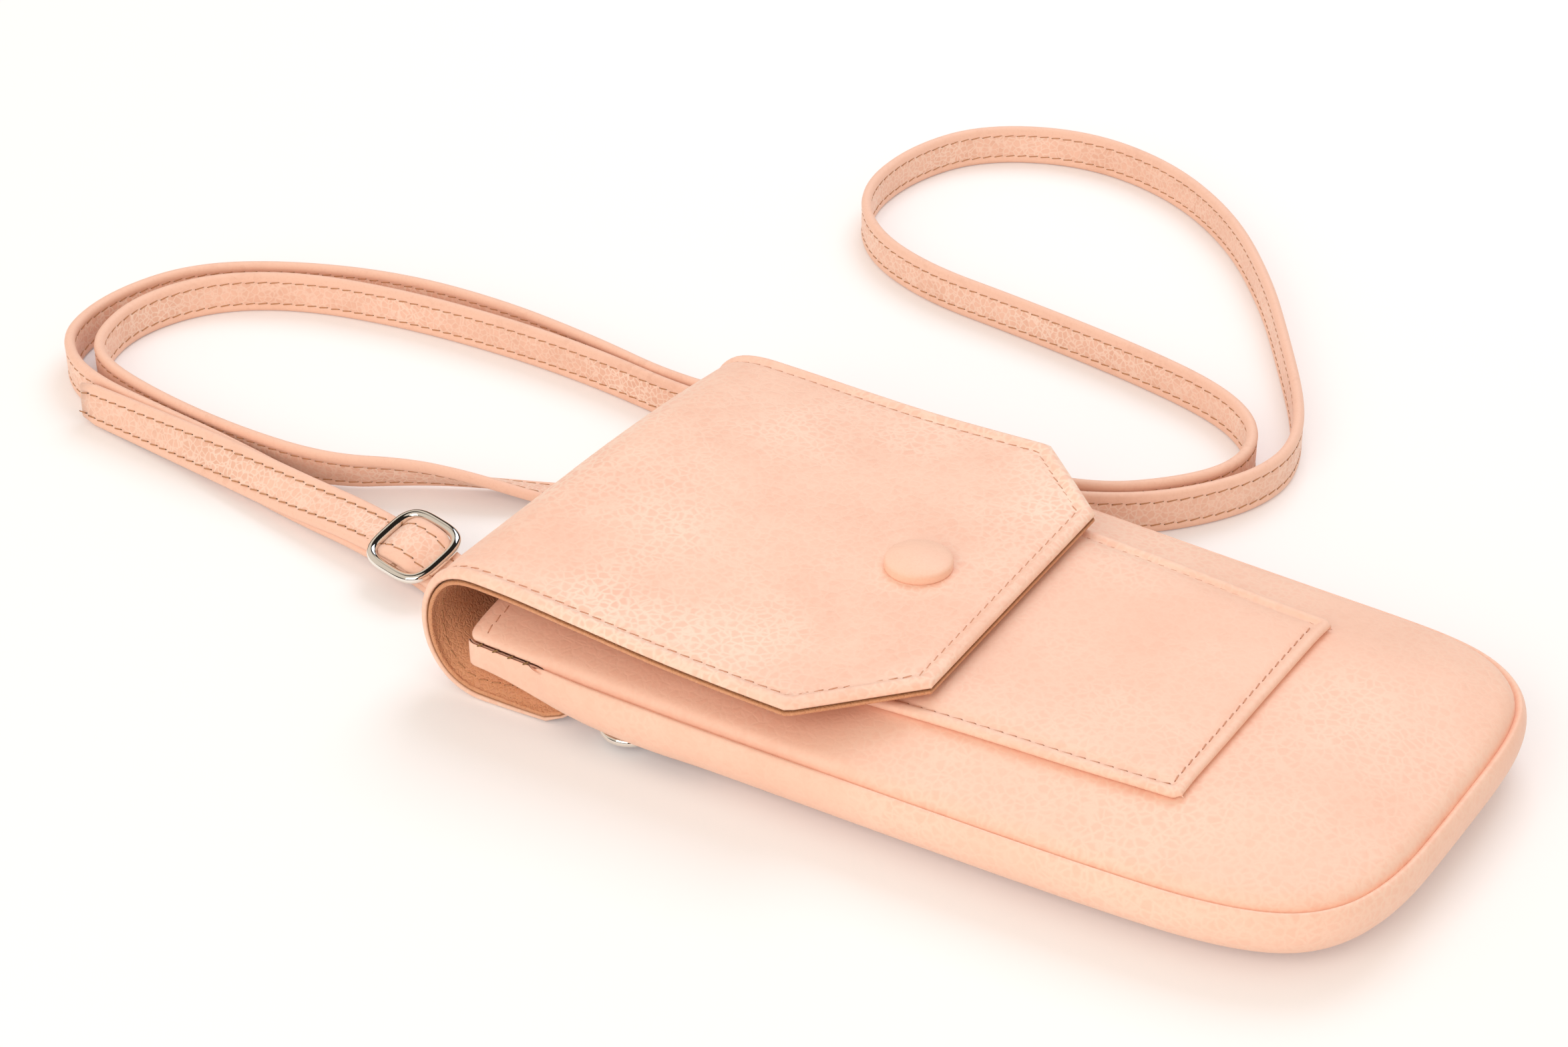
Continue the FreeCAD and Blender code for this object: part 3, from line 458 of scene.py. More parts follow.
def waxed_linen(name, shade, light, painted_hole_shade):
    """Twisted linen thread drawn through wax: matt and mottled along its twist. Its ends, where it dips into
    an awl hole, are painted dark: a painted shade of the hole. The twist is about 0.3 mm long; to show, it is
    drawn at about 0.6 mm (1800 to the metre)."""
    material = bpy.data.materials.new(name)
    material.use_nodes = True
    tree = material.node_tree
    shader = tree.nodes["Principled BSDF"]
    hole_shade_mask = add_node(tree, "ShaderNodeAttribute", attribute_name="painted_hole_shade").outputs["Fac"]
    lay = add_node(tree, "ShaderNodeTexCoord").outputs["Object"]
    twist = add_node(tree, "ShaderNodeTexNoise", {"Vector": lay, "Scale": 1800.0})
    fibre = add_node(tree, "ShaderNodeMix", {"Factor": twist.outputs["Fac"], "A": linear(shade),
                                             "B": linear(light)}, data_type="RGBA")
    # Painted shade: the thread darkens towards its ends, where it sinks into the holes.
    hole_shaded = add_node(tree, "ShaderNodeMix", {"Factor": hole_shade_mask, "A": fibre.outputs["Result"], "B": linear(painted_hole_shade)},
                    data_type="RGBA")
    tree.links.new(hole_shaded.outputs["Result"], shader.inputs["Base Color"])
    shader.inputs["Roughness"].default_value = 0.7
    return material


def on_front(spots, raise_by=0.0):
    """Places and outward directions on the front panel's face."""
    spots = np.asarray(spots, float)
    step = 0.3
    slope_x = (front_height(spots + (step, 0)) - front_height(spots - (step, 0))) / (2 * step)
    slope_y = (front_height(spots + (0, step)) - front_height(spots - (0, step))) / (2 * step)
    up = unit(np.stack([-slope_x, -slope_y, np.ones(len(spots))], axis=1))
    return np.concatenate([spots, front_height(spots)[:, None]], axis=1) + up * raise_by, up


def filled(corners):
    """Spots along straight runs between corners, about 1 mm apart."""
    gone = distance_along(np.asarray(corners, float))
    return at_distance(np.linspace(0, gone[-1], int(gone[-1]) + 2), gone, corners)


peach_linen = waxed_linen("peach_linen", shade="D49C7E", light="DEAA8D", painted_hole_shade="935A40")
dark_linen = waxed_linen("dark_waxed_linen", shade="85602F", light="A07A4C", painted_hole_shade="55351C")
lip_run = filled([(MOUTH + 4.4, -54.6), (MOUTH + 4.4, 54.6)])
lip_thread = stitching("lip_thread", [on_front(lip_run)], pitch=3.0, size=2.5, radius=0.15, slant=8)
knots = []
for side in (-1, 1):
    run = filled([(-89.8, side * 56.0, 14.7), (-73.4, side * 56.3, 14.7)])
    knots.append((run, np.tile((0.0, side * 0.75, 0.65), (len(run), 1))))
lip_knots = stitching("lip_hand_stitches", knots, pitch=3.9, size=1.7, radius=0.2, slant=38)
lip_thread.data.materials.append(peach_linen)
lip_knots.data.materials.append(dark_linen)
for piece in (lip_thread, lip_knots):
    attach(piece, "pouch")

# Card pocket: one patch of the pouch's cowhide with its edges turned under, which makes a soft rim. It is
# sewn to the front on three sides with peach linen and stays open under the flap.
POCKET_NEAR = [(-28.4, -41.0), (54.0, -35.0), (58.6, -34.7), (60.2, -33.0)]
POCKET_FAR = [(-28.4, 41.0), (54.0, 35.4), (58.6, 35.0), (60.2, 33.2)]
POCKET_OPEN, POCKET_LONG, POCKET_WIDE, POCKET_STITCH = -28.4, 88.6, 78, 3.4
POCKET_STEPS = [0, 0.05, 0.15, 0.3, 0.5, 0.8, 1.2, 1.7, 2.3, 2.9, 3.4, 3.9, 4.6, 5.6, 7.2, 9.5, 12.5, 16,
                20, 25, 30, 35]
pocket_end = np.array([7, 5.6, 4.6, 3.9, 3.4, 2.9, 2.3, 1.7, 1.2, 0.8, 0.5, 0.25, 0.1, 0.02, 0])
pocket_x = np.concatenate([[0, 0.1, 0.3, 0.6, 1.0, 1.6], np.arange(3, 80, 1.8), POCKET_LONG - pocket_end])
pocket_x = pocket_x + POCKET_OPEN
pocket_near = np.interp(pocket_x, *zip(*POCKET_NEAR))
pocket_far = np.interp(pocket_x, *zip(*POCKET_FAR))
pocket_share = from_both_edges(POCKET_STEPS, POCKET_WIDE)
pocket_y = pocket_near[:, None] + (pocket_far - pocket_near)[:, None] * pocket_share
pocket_spots = np.stack([pocket_x[:, None] + np.zeros_like(pocket_y), pocket_y], axis=2)
sewn = edge_distance(pocket_spots, np.array(POCKET_NEAR + POCKET_FAR[::-1]))
pocket_margin = np.minimum(sewn, pocket_spots[..., 0] - POCKET_OPEN)
swell = 0.5 * (1 - np.exp(-np.maximum(sewn - POCKET_STITCH, 0) / 3.0))
swell = swell - 0.3 * np.exp(-((sewn - POCKET_STITCH) / 0.6) ** 2)
swell = swell + 0.65 * np.clip(1 - ((sewn - 1.6) / 1.6) ** 2, 0, 1)
pocket_face = np.concatenate([pocket_spots, (front_height(pocket_spots) + 1.55 + swell)[..., None]], axis=2)
card_pocket = leather_sheet("pocket_patch", pocket_face, 2.0, pocket_margin)
pocket_run = filled([(-27.0, -37.5), (55.8, -31.6), (56.8, -30.6), (56.8, 30.8)])
pocket_far_run = filled([(56.8, 30.8), (55.8, 31.9), (-27.0, 37.5)])
pocket_thread = stitching("pocket_thread", [on_front(pocket_run, 1.4), on_front(pocket_far_run, 1.17)],
                          pitch=2.9, size=2.4, radius=0.15, slant=8)
card_pocket.data.materials.append(pouch_hide)
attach(card_pocket, "pouch")
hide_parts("card_pocket")
pocket_thread.data.materials.append(peach_linen)
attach(pocket_thread, "pouch")

# Strip, fold and flap: one long piece of cowhide with a lining of the same, glued and sewn along its edges.
# It is sewn under the back, turns over the mouth in an open fold and comes forward as the flap.
STRIP_LINE = [(6.4, 27.6), (-14.0, 27.6), (-30.0, 27.7), (-46.0, 28.2), (-66.0, 29.8), (-80.0, 30.8),
              (-95.5, 31.0), (-102.9, 23.6), (-102.9, 13.2), (-95.5, 5.8), (-80.0, 5.6), (-62.0, 5.8),
              (-48.0, 5.8), (-42.0, 4.8), (-33.0, 1.0), (-27.0, 0.0), (-12.0, 0.0), (20.0, 0.0), (60.0, 0.0),
              (93.4, 0.0)]
FOLD_X, FOLD_MIDDLE = -90.3, 18
FLAP_STITCH = 3.7
FLAP_THICK, FLAP_LINING_THICK = 1.7, 1.0
strip_line = smooth_lines("strip_line", [[(x, 0.0, z) for x, z in STRIP_LINE]], 12)[0][:, (0, 2)]
strip_gone = distance_along(strip_line)
strip_whole = strip_gone[-1]
from_fold = abs(strip_line[:, 0] - FOLD_X)
fold_top = strip_gone[np.argmin(from_fold + 99 * (strip_line[:, 1] < FOLD_MIDDLE))]
fold_low = strip_gone[np.argmin(from_fold + 99 * (strip_line[:, 1] > FOLD_MIDDLE))]
neck = fold_low + 31.9
# The cut shape: how far each side reaches from the middle, along the strip from the flap's front edge.
TONGUE = [(neck, 46.9), (neck + 60, 45.3), (strip_whole - 22, 42.5), (strip_whole - 8, 36.0),
          (strip_whole - 2, 26.0), (strip_whole, 20.0)]
NEAR_CUT = [(0.0, -33.8), (20.6, -55.4), (fold_top, -56.2), (fold_low, -56.2), (fold_low + 18, -55.0)]
NEAR_CUT += [(gone, -reach) for gone, reach in TONGUE]
FAR_CUT = [(0.0, 37.6), (21.4, 56.6), (fold_top, 56.4), (fold_low, 56.2)] + TONGUE
EDGE_STEPS = [0, 0.05, 0.15, 0.3, 0.55, 0.9, 1.4, 2.0, 2.7, 3.3, 3.8, 4.3, 4.9, 5.8, 7.2, 9.2, 12, 15.5,
              19.5, 24, 29, 34.5, 40, 45.5, 51]
STRIP_WIDE = 112
strip_rows = np.concatenate([EDGE_STEPS[:-9], np.arange(11, fold_low + 4, 1.7),
                             np.arange(fold_low + 5, strip_whole - 3, 3.2),
                             strip_whole - np.array([2.5, 1.2, 0.5, 0.15, 0.0])])
strip_share = from_both_edges(EDGE_STEPS, STRIP_WIDE)
near_cut = np.interp(strip_rows, *zip(*NEAR_CUT))
far_cut = np.interp(strip_rows, *zip(*FAR_CUT))
strip_y = near_cut[:, None] + (far_cut - near_cut)[:, None] * strip_share
strip_s = strip_rows[:, None] + np.zeros_like(strip_y)


def strip_face(gone, y):
    """Places on the outer face, from the distance along the strip and the distance across it. The flap's
    front edge is cut a little askew; the fold leans to the far side, and its near low edge sags."""
    skew = (0.7 + 2.4 * (y + 33.8) / 71.4) * np.clip(1 - gone / 70, 0, 1)
    at = np.clip(gone + skew, 0, strip_whole)
    x = np.interp(at, strip_gone, strip_line[:, 0])
    z = np.interp(at, strip_gone, strip_line[:, 1])
    over = ease(at, 8, fold_top) * (1 - ease(at, fold_top, fold_low))
    z = z - 4.4 * over * np.clip((y + 6) / 62, 0, 1) ** 2
    low_side = np.clip((30.6 - z) / 24.8, 0, 1) * (1 - ease(at, fold_low + 22, fold_low + 31))
    z = z - 5.4 * low_side * ease(at, 60, fold_top) * ease(-y, 46.5, 56)
    return np.stack([x, y, z], axis=-1)


def strip_out(gone, y):
    """Outward directions of the outer face."""
    along = strip_face(gone + 0.3, y) - strip_face(gone - 0.3, y)
    across = strip_face(gone, y + 0.3) - strip_face(gone, y - 0.3)
    return unit(np.cross(across, along))


# The rim outside the stitches puffs up, and the stitches draw a valley.
strip_edge = edge_distance(np.stack([strip_s, strip_y], axis=2), np.array(NEAR_CUT[::-1] + FAR_CUT))
strip_edge = np.minimum(strip_edge, strip_s)
has_rim = strip_s < fold_low + 20
valley = 0.45 * np.exp(-((strip_edge - FLAP_STITCH) / 0.5) ** 2) * has_rim
puffed = 0.6 * np.sin(np.pi * np.clip(strip_edge / 3.5, 0, 1)) ** 2 * has_rim
strip_base, strip_up = strip_face(strip_s, strip_y), strip_out(strip_s, strip_y)
flap_outer = strip_base - strip_up * (valley - puffed)[..., None]
flap_under = strip_base - strip_up * (FLAP_THICK + 0.02 - 0.3 * puffed)[..., None]
flap_leather = leather_sheet("flap_leather", flap_outer, FLAP_THICK, strip_edge * 1.7, facing=(-1, 0, 0),
                             glued=-1)
flap_inside = leather_sheet("flap_inside", flap_under, FLAP_LINING_THICK, strip_edge * 1.6, facing=(-1, 0, 0),
                            glued=1)
flap_run = filled([(fold_low + 24, -56.2 + FLAP_STITCH + 3), (fold_low, -56.2 + FLAP_STITCH),
                   (22.3, -55.4 + FLAP_STITCH), (FLAP_STITCH, -33.8 + 1.7), (FLAP_STITCH, 37.6 - 1.7),
                   (23.1, 56.6 - FLAP_STITCH), (fold_low, 56.2 - FLAP_STITCH),
                   (fold_low + 24, 56.2 - FLAP_STITCH - 3)])
flap_up = strip_out(flap_run[:, 0], flap_run[:, 1])
flap_line = strip_face(flap_run[:, 0], flap_run[:, 1])
flap_thread = stitching("flap_thread", [(flap_line - flap_up * 0.4, flap_up)], pitch=3.0, size=2.5,
                        radius=0.15, slant=8)
inside_thread = stitching("flap_inside_thread", [(flap_line - flap_up * 2.66, -flap_up)], pitch=3.0, size=2.5,
                          radius=0.18, slant=8)
# The flap is handled most: its crackle is rubbed clearer than the pouch's. Its lower thread is brown.
flap_hide = natural_cowhide("flap_cowhide", deep="F8C8B1", mid="FDD3BD", pale="FFE8D5", cell=2.0, width=0.27,
                            relief=0.05, worn=(0.15, 0.95), speckle=0.05, roughness=0.5)
brown_linen = waxed_linen("waxed_brown_linen", shade="B98259", light="C9966E", painted_hole_shade="381B0A")
flap_leather.data.materials.append(flap_hide)
flap_inside.data.materials.append(lining_hide)
flap_thread.data.materials.append(peach_linen)
inside_thread.data.materials.append(brown_linen)
for piece in (flap_leather, flap_inside, flap_thread, inside_thread):
    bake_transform(piece)
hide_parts("back_strip", "fold", "flap")
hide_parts("back_strip_lining", "fold_lining", "flap_lining")

# Button: a shallow metal dome covered with skived cowhide, which is stretched smooth over it and shows next
# to no grain. It is riveted through the flap over the snap.
BUTTON = (-17.4, 0.0, 28.6)
DOME_STEPS = [(0.001, 0.0004), (0.0014, 0.00036), (0.0016, 0.00028), (0.0016, 0.00016), (0.0012, 0.00006)]
button_hide = natural_cowhide("button_cowhide", deep="F9CBB3", mid="FDD3BC", pale="FFDFCA", cell=0.6,
                              width=0.27, relief=0.01, worn=(0.05, 0.3), speckle=0.04, roughness=0.45)
bpy.ops.mesh.primitive_cylinder_add(vertices=72, radius=0.00715, depth=0.0021, end_fill_type="NGON")
button = bpy.context.object
button.name = "button_leather"
bpy.ops.object.mode_set(mode="EDIT")
bpy.ops.mesh.select_all(action="DESELECT")
bpy.ops.object.mode_set(mode="OBJECT")
for face in button.data.polygons:
    face.select = face.normal.z > 0.9
bpy.ops.object.mode_set(mode="EDIT")
for inwards, upwards in DOME_STEPS:
    bpy.ops.mesh.inset(thickness=inwards)
    bpy.ops.transform.translate(value=(0, 0, upwards))
bpy.ops.object.mode_set(mode="OBJECT")
rounding = button.modifiers.new("rounding", "BEVEL")
rounding.width = 0.0005
rounding.segments = 4
rounding.limit_method = "ANGLE"
rounding.angle_limit = math.radians(50)
bpy.ops.object.modifier_apply(modifier="rounding")
button.data.transform(Matrix.Translation(Vector(BUTTON) / 1000))
bpy.ops.object.shade_smooth()
button.data.materials.append(button_hide)
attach(button, "flap")
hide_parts("button_cap")

# Ring tabs: short doubled loops of the pouch's cowhide that hold the D rings. They are cut like the ends of
# the strap, narrow and thin, and are sewn under the back.
STRAP_WIDTH, END_WIDTH = 10.4, 5.0
# Half of a strap's section, from one edge over the upper face to the other: rounded turned edges, a dip at
# each stitch row and a flat middle.
STRAP_FACE = [(-5.2, 0.0), (-5.08, 0.62), (-4.6, 1.12), (-3.9, 1.3), (-3.3, 1.16), (-2.95, 1.02),
              (-2.6, 1.12), (-1.8, 1.22), (0.0, 1.24), (1.8, 1.22), (2.6, 1.12), (2.95, 1.02), (3.3, 1.16),
              (3.9, 1.3), (4.6, 1.12), (5.08, 0.62)]
STITCH_ROW, STITCH_DIP = 2.95, 1.02


def band_lines(name, middle, rim, steps):
    """Centre points of a narrow strip, with its way along, its direction across and its facing at each."""
    centre, edge = smooth_lines(name, [middle, rim], steps)
    along = unit(np.gradient(centre, axis=0))
    across = edge - centre
    across = unit(across - along * (across * along).sum(axis=1, keepdims=True))
    return centre, along, across, np.cross(along, across)


def swept(name, lines, wide, thick):
    """A strip with the strap's section drawn along lines; wide and thick scale it on the way. The turned
    edges outside the stitch rows are marked: their grain is smooth and they get a painted highlight."""
    centre, along, across, facing = lines
    section = STRAP_FACE + [(-v, -w) for v, w in STRAP_FACE]
    places = []
    for i in range(len(centre)):
        places += [centre[i] + across[i] * v * wide[i] + facing[i] * w * thick[i] for v, w in section]
    size, count = len(section), len(centre)
    faces = []
    for here in range(0, (count - 1) * size, size):
        there = here + size
        faces += [(here + k, here + (k + 1) % size, there + (k + 1) % size, there + k) for k in range(size)]
    faces += [tuple(range(size)), tuple((count - 1) * size + k for k in range(size))]
    piece = new_piece(name, places, faces)
    turned_edge_and_highlight = piece.data.attributes.new("turned_edge_and_highlight", "FLOAT", "POINT")
    marks = [float(abs(v) > STITCH_ROW + 0.15) for v, w in section] * count
    turned_edge_and_highlight.data.foreach_set("value", np.array(marks, np.float32))
    return piece


for side, word in ((-1, "near"), (1, "far")):
    bend = [(26.0, 4.9), (34.0, 4.9), (40.6, 5.0), (43.6, 5.0), (44.3, 2.95), (43.6, 0.95), (40.6, 0.95),
            (34.0, 1.0), (26.0, 1.0)]
    middle = [(RING_X, side * y, z) for y, z in bend]
    rim = [(RING_X + END_WIDTH / 2, side * y, z) for y, z in bend]
    tab_lines = band_lines("ring_tab_line", middle, rim, 6)
    count = len(tab_lines[0])
    tab = swept("ring_loop_" + word, tab_lines, np.full(count, END_WIDTH / STRAP_WIDTH), np.full(count, 0.6))
    tab.data.materials.append(pouch_hide)
    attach(tab, "pouch")
    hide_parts("ring_tab_" + word)

# Rings and snap: zinc castings and brass pressings, nickel plated. The rings are polished: they mirror the
# white room and the leather round them, a little unevenly, in patches of about 8 mm (120 to the metre).
nickel = bpy.data.materials.new("polished_nickel")
nickel.use_nodes = True
plate = nickel.node_tree
shine = plate.nodes["Principled BSDF"]
shine.inputs["Base Color"].default_value = linear("F0ECE4")
shine.inputs["Metallic"].default_value = 1.0
spot = add_node(plate, "ShaderNodeTexCoord").outputs["Object"]
haze = add_node(plate, "ShaderNodeTexNoise", {"Vector": spot, "Scale": 120.0, "Detail": 1.0})
dull = add_node(plate, "ShaderNodeMapRange", {"Value": haze.outputs["Fac"], "To Min": 0.05, "To Max": 0.08})
plate.links.new(dull.outputs[0], shine.inputs["Roughness"])
# The snap's pressed discs are tumbled to a satin, which shows no clear mirror image.
satin = bpy.data.materials.new("satin_nickel")
satin.use_nodes = True
satin_shine = satin.node_tree.nodes["Principled BSDF"]
satin_shine.inputs["Base Color"].default_value = linear("DDD8D0")
satin_shine.inputs["Metallic"].default_value = 1.0
satin_shine.inputs["Roughness"].default_value = 0.38
for node, finish in (("ring_near", nickel), ("ring_far", nickel),
                     ("snap_stud", satin), ("snap_socket", satin)):
    cast = bpy.data.objects[node]
    cast.data.materials.clear()
    cast.data.materials.append(finish)

# Strap: one narrow strip of natural cowhide with turned edges and two rows of brown stitching. It runs from
# the far ring in a wide loop, on edge, to the near ring, turns back through the slider and ends in a free
# tail. A stop of a route is a place and the tilt of the strap there in degrees.
FROM_FAR_RING = [
    (-72.6, 46.6, 1.6, 0), (-93.4, 27.5, 1.6, 0), (-105.0, 21.5, 1.6, 0), (-119.0, 14.5, 2.0, 8),
    (-137.5, 6.4, 4.7, 40), (-150.0, 0.8, 5.5, 58), (-166.4, -9.6, 5.8, 73), (-192.4, -11.6, 5.5, 86),
    (-219.4, -9.0, 5.3, 90),
]
# Most of the strap stands on its edge.
ON_EDGE = [
    (-239.4, -4.0), (-248.4, 5.0), (-251.9, 22.0), (-244.4, 40.5), (-226.4, 53.0), (-199.4, 59.5),
    (-169.4, 62.0), (-141.4, 61.3), (-112.4, 57.4), (-82.4, 60.6), (-50.4, 61.2), (-21.4, 63.6),
    (-4.4, 72.5), (7.1, 84.5), (14.4, 98.0), (15.6, 112.0), (9.1, 129.0), (-6.4, 153.5), (-23.4, 179.0),
    (-45.4, 204.5), (-71.4, 221.5), (-99.4, 226.0), (-124.4, 214.0), (-133.9, 192.0), (-132.9, 168.0),
    (-120.4, 150.0), (-98.4, 139.5), (-69.4, 136.5), (-36.4, 131.8), (-11.4, 126.0), (2.1, 117.5),
    (8.1, 106.0), (7.1, 94.0), (-0.9, 82.5), (-13.4, 72.0), (-33.4, 67.0), (-62.4, 65.6), (-94.4, 64.2),
    (-119.4, 61.3), (-146.4, 66.0), (-176.4, 68.5), (-205.4, 66.0), (-232.4, 56.0), (-251.4, 42.0),
    (-258.5, 22.0), (-256.5, 3.5), (-246.0, -7.0), (-232.0, -11.8),
]
TO_NEAR_RING = [
    (-211.4, -15.0, 5.4, 76), (-188.1, -17.6, 5.2, 58), (-164.7, -20.6, 4.2, 37), (-141.8, -23.6, 4.7, 17),
    (-113.9, -28.0, 2.8, 17), (-105.9, -38.0, 1.6, 0), (-72.6, -46.6, 1.6, 0),
]
STRAP_ROUTE = FROM_FAR_RING + [(x, y, STRAP_WIDTH / 2, 90) for x, y in ON_EDGE] + TO_NEAR_RING
TAIL_ROUTE = [
    (-72.6, -46.6, 4.35, 180), (-105.9, -38.0, 4.35, 180), (-113.8, -28.8, 5.4, 163),
    (-141.7, -24.4, 7.4, 163), (-165.0, -22.2, 6.5, 143), (-188.4, -19.9, 6.6, 122),
    (-211.7, -17.6, 6.1, 104), (-235.0, -15.4, 5.5, 94),
]
# Each end narrows over this length to the width that fits its ring.
NARROWING = (0.0, 34.0), (END_WIDTH / STRAP_WIDTH, 1.0)
STRAP_STITCH = {"pitch": 3.1, "size": 2.9, "radius": 0.17, "slant": 9}


def strap_lines(name, route):
    """The lines of a strap along a route."""
    places = np.array([stop[:3] for stop in route], float)
    way = unit(np.gradient(places, axis=0) * (1, 1, 0))
    level = np.cross((0, 0, 1), way)
    tilt = np.radians([stop[3] for stop in route])[:, None]
    upper = places + (level * np.cos(tilt) + np.array((0, 0, 1)) * np.sin(tilt)) * STRAP_WIDTH / 2
    return band_lines(name, places, upper, 9)


def strap_rows(lines, wide):
    """Both stitch rows on both faces of a strap."""
    centre, along, across, facing = lines
    rows = []
    for side in (-STITCH_ROW, STITCH_ROW):
        for face in (1, -1):
            rows.append((centre + across * side * wide[:, None] + facing * face * STITCH_DIP, facing * face))
    return rows


main_lines = strap_lines("strap_main_line", STRAP_ROUTE)
main_gone = distance_along(main_lines[0])
main_wide = np.interp(np.minimum(main_gone, main_gone[-1] - main_gone), *NARROWING)
strap_main = swept("strap_main", main_lines, main_wide, np.ones(len(main_gone)))

tail_lines = strap_lines("strap_tail_line", TAIL_ROUTE)
tail_gone = distance_along(tail_lines[0])
tail_left = tail_gone[-1] - tail_gone
tail_wide = np.interp(tail_gone, *NARROWING) * np.interp(tail_left, (0.0, 0.5, 2.0), (0.86, 0.95, 1.0))
tail_thick = np.interp(tail_left, (0.0, 1.0), (0.5, 0.92))
strap_tail = swept("strap_free_tail", tail_lines, tail_wide, tail_thick)
strap_thread = stitching("strap_thread",
                         strap_rows(main_lines, main_wide) + strap_rows(tail_lines, tail_wide),
                         **STRAP_STITCH)

# The stretch inside the slider rides on it: up through one window, over the middle bar and down again. Its
# thin, narrow ends lie inside the doubled strap.
SLIDER_SPOT = np.array((-127.7, -27.4, 8.9))
HUMP = [(-14.2, -2.6), (-11.0, -2.6), (-8.6, -2.4), (-7.0, -1.8), (-5.4, -0.5), (-3.2, 1.3), (0.0, 2.0),
        (3.2, 1.3), (5.4, -0.5), (7.0, -1.8), (8.6, -2.4), (11.0, -2.6), (14.2, -2.6)]
slider_turn = (Matrix.Rotation(math.radians(-9), 3, "Z") @ Matrix.Rotation(math.radians(4), 3, "Y")
               @ Matrix.Rotation(math.radians(17), 3, "X"))
slider_axes = np.array(slider_turn).T
hump_centre = [SLIDER_SPOT + slider_axes[0] * a + slider_axes[2] * n for a, n in HUMP]
hump_edge = [p + slider_axes[1] * STRAP_WIDTH / 2 for p in hump_centre]
hump_lines = band_lines("strap_hump_line", hump_centre, hump_edge, 6)
hump_reach = abs((hump_lines[0] - SLIDER_SPOT) @ slider_axes[0])
hump_wide = np.interp(hump_reach, (4.0, 7.5, 9.5, 14.2), (1.22, 1.0, 1.0, 0.55))
hump_thick = np.interp(hump_reach, (9.5, 14.2), (0.85, 0.5))
strap_hump = swept("strap_hump", hump_lines, hump_wide, hump_thick)
in_sight = hump_reach < 10.0
hump_rows = [((line - up * 0.16)[in_sight], up[in_sight])
             for line, up in strap_rows(hump_lines, hump_wide)[0::2]]
hump_thread = stitching("strap_hump_thread", hump_rows, **STRAP_STITCH)
# Pressed into the slider, its edges curl down beside the bar.
for piece in (strap_hump, hump_thread):
    for v in piece.data.vertices:
        place = np.array(v.co) * 1000
        beside = slider_axes @ (place - SLIDER_SPOT)
        curl = 0.5 * (beside[1] / (STRAP_WIDTH / 2)) ** 2 * math.exp(-(beside[0] / 4.5) ** 2)
        v.co = Vector((place - slider_axes[2] * curl) / 1000)

# The strap's crackle shows clearly between the stitch rows; its turned edges are smooth, and painted
# brighter as a painted highlight on their rounded rims.
strap_hide = natural_cowhide("strap_cowhide", deep="EABAA2", mid="F8CDB7", pale="FFE6D6", cell=1.5,
                             width=0.18, relief=0.035, worn=(0.4, 1.0), speckle=0.1, roughness=0.55)

# Each end is skived thin, turned round its ring and sewn back.
TURN_Y = 46.65
for side, word in ((-1, "near"), (1, "far")):
    bend = [(-73.2, 1.55), (-66.0, 1.45), (-61.2, 0.95), (-59.0, 1.6), (-58.8, 2.95), (-59.0, 4.3),
            (-61.2, 4.95), (-66.0, 4.45), (-73.2, 4.35)]
    middle = [(x, side * TURN_Y, z) for x, z in bend]
    rim = [(x, side * TURN_Y + END_WIDTH / 2, z) for x, z in bend]
    turn_lines = band_lines("strap_turn_line", middle, rim, 6)
    thin = np.interp(turn_lines[0][:, 0], (-68.0, -62.0), (1.0, 0.56))
    turn = swept("strap_turn_" + word, turn_lines, np.full(len(thin), END_WIDTH / STRAP_WIDTH), thin)
    turn.data.materials.append(strap_hide)
    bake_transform(turn)
    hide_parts("strap_end_" + word)

for piece in (strap_main, strap_tail, strap_hump):
    piece.data.materials.append(strap_hide)
for piece in (strap_thread, hump_thread):
    piece.data.materials.append(brown_linen)
for piece in (strap_main, strap_tail, strap_thread):
    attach(piece, "pouch")
for piece in (strap_hump, hump_thread):
    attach(piece, "slider")
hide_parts("strap_far", "strap_long", "strap_near", "strap_short")
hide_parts("strap_tail", "strap_return")
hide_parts("strap_in_slider")

# Slider: a zinc casting, polished and nickel plated like the rings. Its frame has bowed sides and round
# corners, and the thin bar across its middle holds the strap.
SLIDER_RING, SLIDER_WIRE = 0.008, 0.00118
HALF_LONG, HALF_WIDE, SQUARENESS = 8.1, 7.85, 3.6
bpy.ops.object.select_all(action="DESELECT")
bpy.ops.mesh.primitive_torus_add(major_segments=112, minor_segments=20, major_radius=SLIDER_RING,
                                 minor_radius=SLIDER_WIRE)
slider_frame = bpy.context.object
slider_frame.name = "slider_frame"
for v in slider_frame.data.vertices:
    turn = math.atan2(v.co.y, v.co.x)
    from_wire = math.hypot(v.co.x, v.co.y) - SLIDER_RING
    long_part, wide_part = abs(math.cos(turn)) / HALF_LONG, abs(math.sin(turn)) / HALF_WIDE
    reach = (long_part ** SQUARENESS + wide_part ** SQUARENESS) ** (-1 / SQUARENESS)
    out = Vector((math.copysign(long_part ** (SQUARENESS - 1) / HALF_LONG, v.co.x),
                  math.copysign(wide_part ** (SQUARENESS - 1) / HALF_WIDE, v.co.y), 0))
    height = v.co.z * 0.92
    v.co = Vector((math.cos(turn), math.sin(turn), 0)) * reach / 1000 + out.normalized() * from_wire
    v.co.z = height
bpy.ops.mesh.primitive_cylinder_add(vertices=24, radius=0.0007, depth=0.0152, rotation=(math.pi / 2, 0, 0),
                                    location=(0, 0, -0.0003))
bpy.ops.object.transform_apply(location=True, rotation=True, scale=True)
slider_frame.select_set(True)
bpy.context.view_layer.objects.active = slider_frame
bpy.ops.object.join()
slider_frame.data.transform(Matrix.Translation(Vector(SLIDER_SPOT) / 1000) @ slider_turn.to_4x4())
bpy.ops.object.shade_smooth_by_angle(angle=math.radians(40))
slider_frame.data.materials.append(nickel)
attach(slider_frame, "slider")
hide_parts("slider")

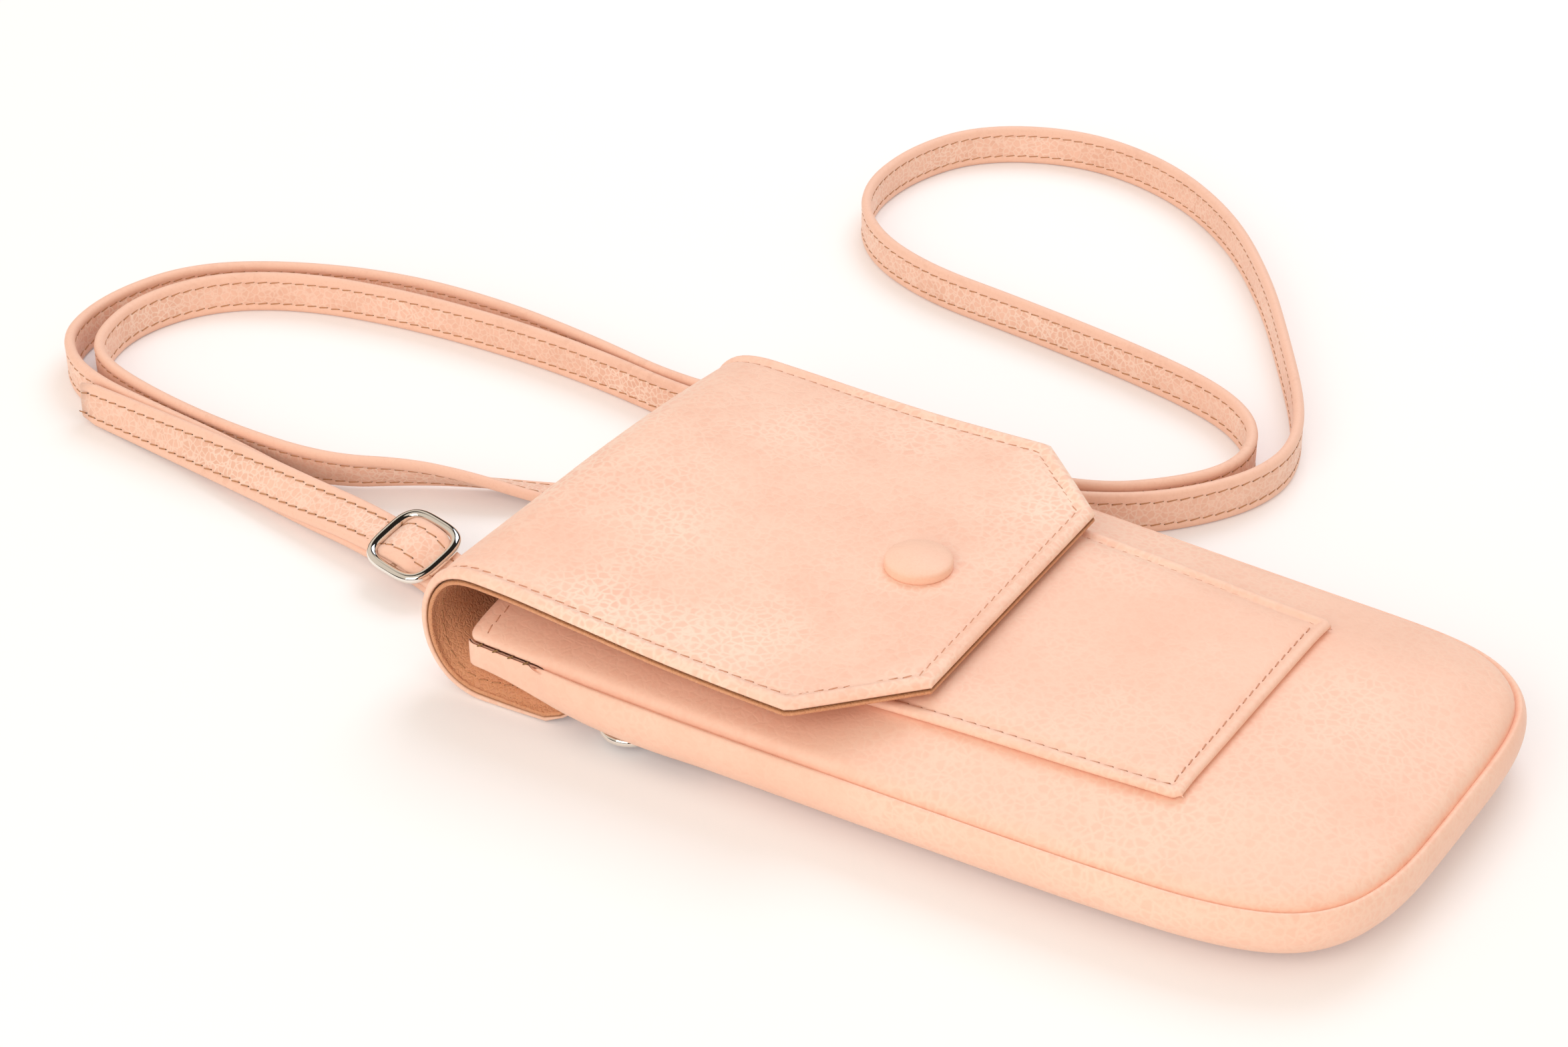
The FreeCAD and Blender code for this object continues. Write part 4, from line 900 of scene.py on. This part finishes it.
# Floor and light: a sweep of matt white paper. One broad soft light stands high behind the pouch and a fill
# in front of it, in a white room. The camera and mirrors see the paper a little brighter than it is lit.
bpy.ops.mesh.primitive_plane_add(size=6, location=(0, 0, 0))
floor = bpy.context.object
floor.name = "floor"
paper = bpy.data.materials.new("white_paper_sweep")
paper.use_nodes = True
sweep = paper.node_tree
sweep.nodes.clear()
path = add_node(sweep, "ShaderNodeLightPath")
seen = add_node(sweep, "ShaderNodeMath", {0: path.outputs["Is Camera Ray"], 1: path.outputs["Is Glossy Ray"]},
                operation="MAXIMUM")
seen = add_node(sweep, "ShaderNodeMath", {0: seen.outputs[0], 1: path.outputs["Is Transmission Ray"]},
                operation="MAXIMUM")
white = add_node(sweep, "ShaderNodeBsdfDiffuse", {"Color": (0.92, 0.92, 0.92, 1.0)})
dim = add_node(sweep, "ShaderNodeMath", {0: seen.outputs[0], 1: 0.12}, operation="MULTIPLY")
glow = add_node(sweep, "ShaderNodeEmission", {"Color": linear("E4EFFF"), "Strength": dim.outputs[0]})
both = add_node(sweep, "ShaderNodeAddShader", {0: white.outputs[0], 1: glow.outputs[0]})
add_node(sweep, "ShaderNodeOutputMaterial", {"Surface": both.outputs[0]})
floor.data.materials.append(paper)

# The room is warm white; metal mirrors the dark things that stand round the table as well.
sky = bpy.data.worlds.new("studio")
sky.use_nodes = True
room = sky.node_tree
toward = add_node(room, "ShaderNodeTexCoord").outputs["Generated"]
things = add_node(room, "ShaderNodeTexNoise", {"Vector": toward, "Scale": 0.9, "Detail": 0.0})
shapes = add_node(room, "ShaderNodeMapRange", {"Value": things.outputs["Fac"], "From Min": 0.46,
                                               "From Max": 0.5})
mirrored = add_node(room, "ShaderNodeLightPath").outputs["Is Glossy Ray"]
dark = add_node(room, "ShaderNodeMath", {0: shapes.outputs[0], 1: mirrored}, operation="MULTIPLY")
walls = add_node(room, "ShaderNodeMix", {"Factor": dark.outputs[0], "A": linear("FFF2E4"),
                                         "B": linear("2C2825")}, data_type="RGBA")
room.links.new(walls.outputs["Result"], room.nodes["Background"].inputs["Color"])
room.nodes["Background"].inputs["Strength"].default_value = 0.74
bpy.context.scene.world = sky
LIT_SPOT = Vector((-0.05, 0.02, 0.0))
for name, place, size, power, tint in (("softbox", (-0.15, 0.8, 1.05), 0.8, 5.6, "E8F0FF"),
                                       ("front_fill", (0.0, -1.1, 0.7), 0.9, 6.0, "FFF6EE")):
    bpy.ops.object.light_add(type="AREA", location=place)
    lamp = bpy.context.object
    lamp.name = name
    lamp.data.size = size
    lamp.data.energy = power
    lamp.data.color = linear(tint)[:3]
    lamp.rotation_mode = "QUATERNION"
    lamp.rotation_quaternion = (LIT_SPOT - lamp.location).to_track_quat("-Z", "Y")
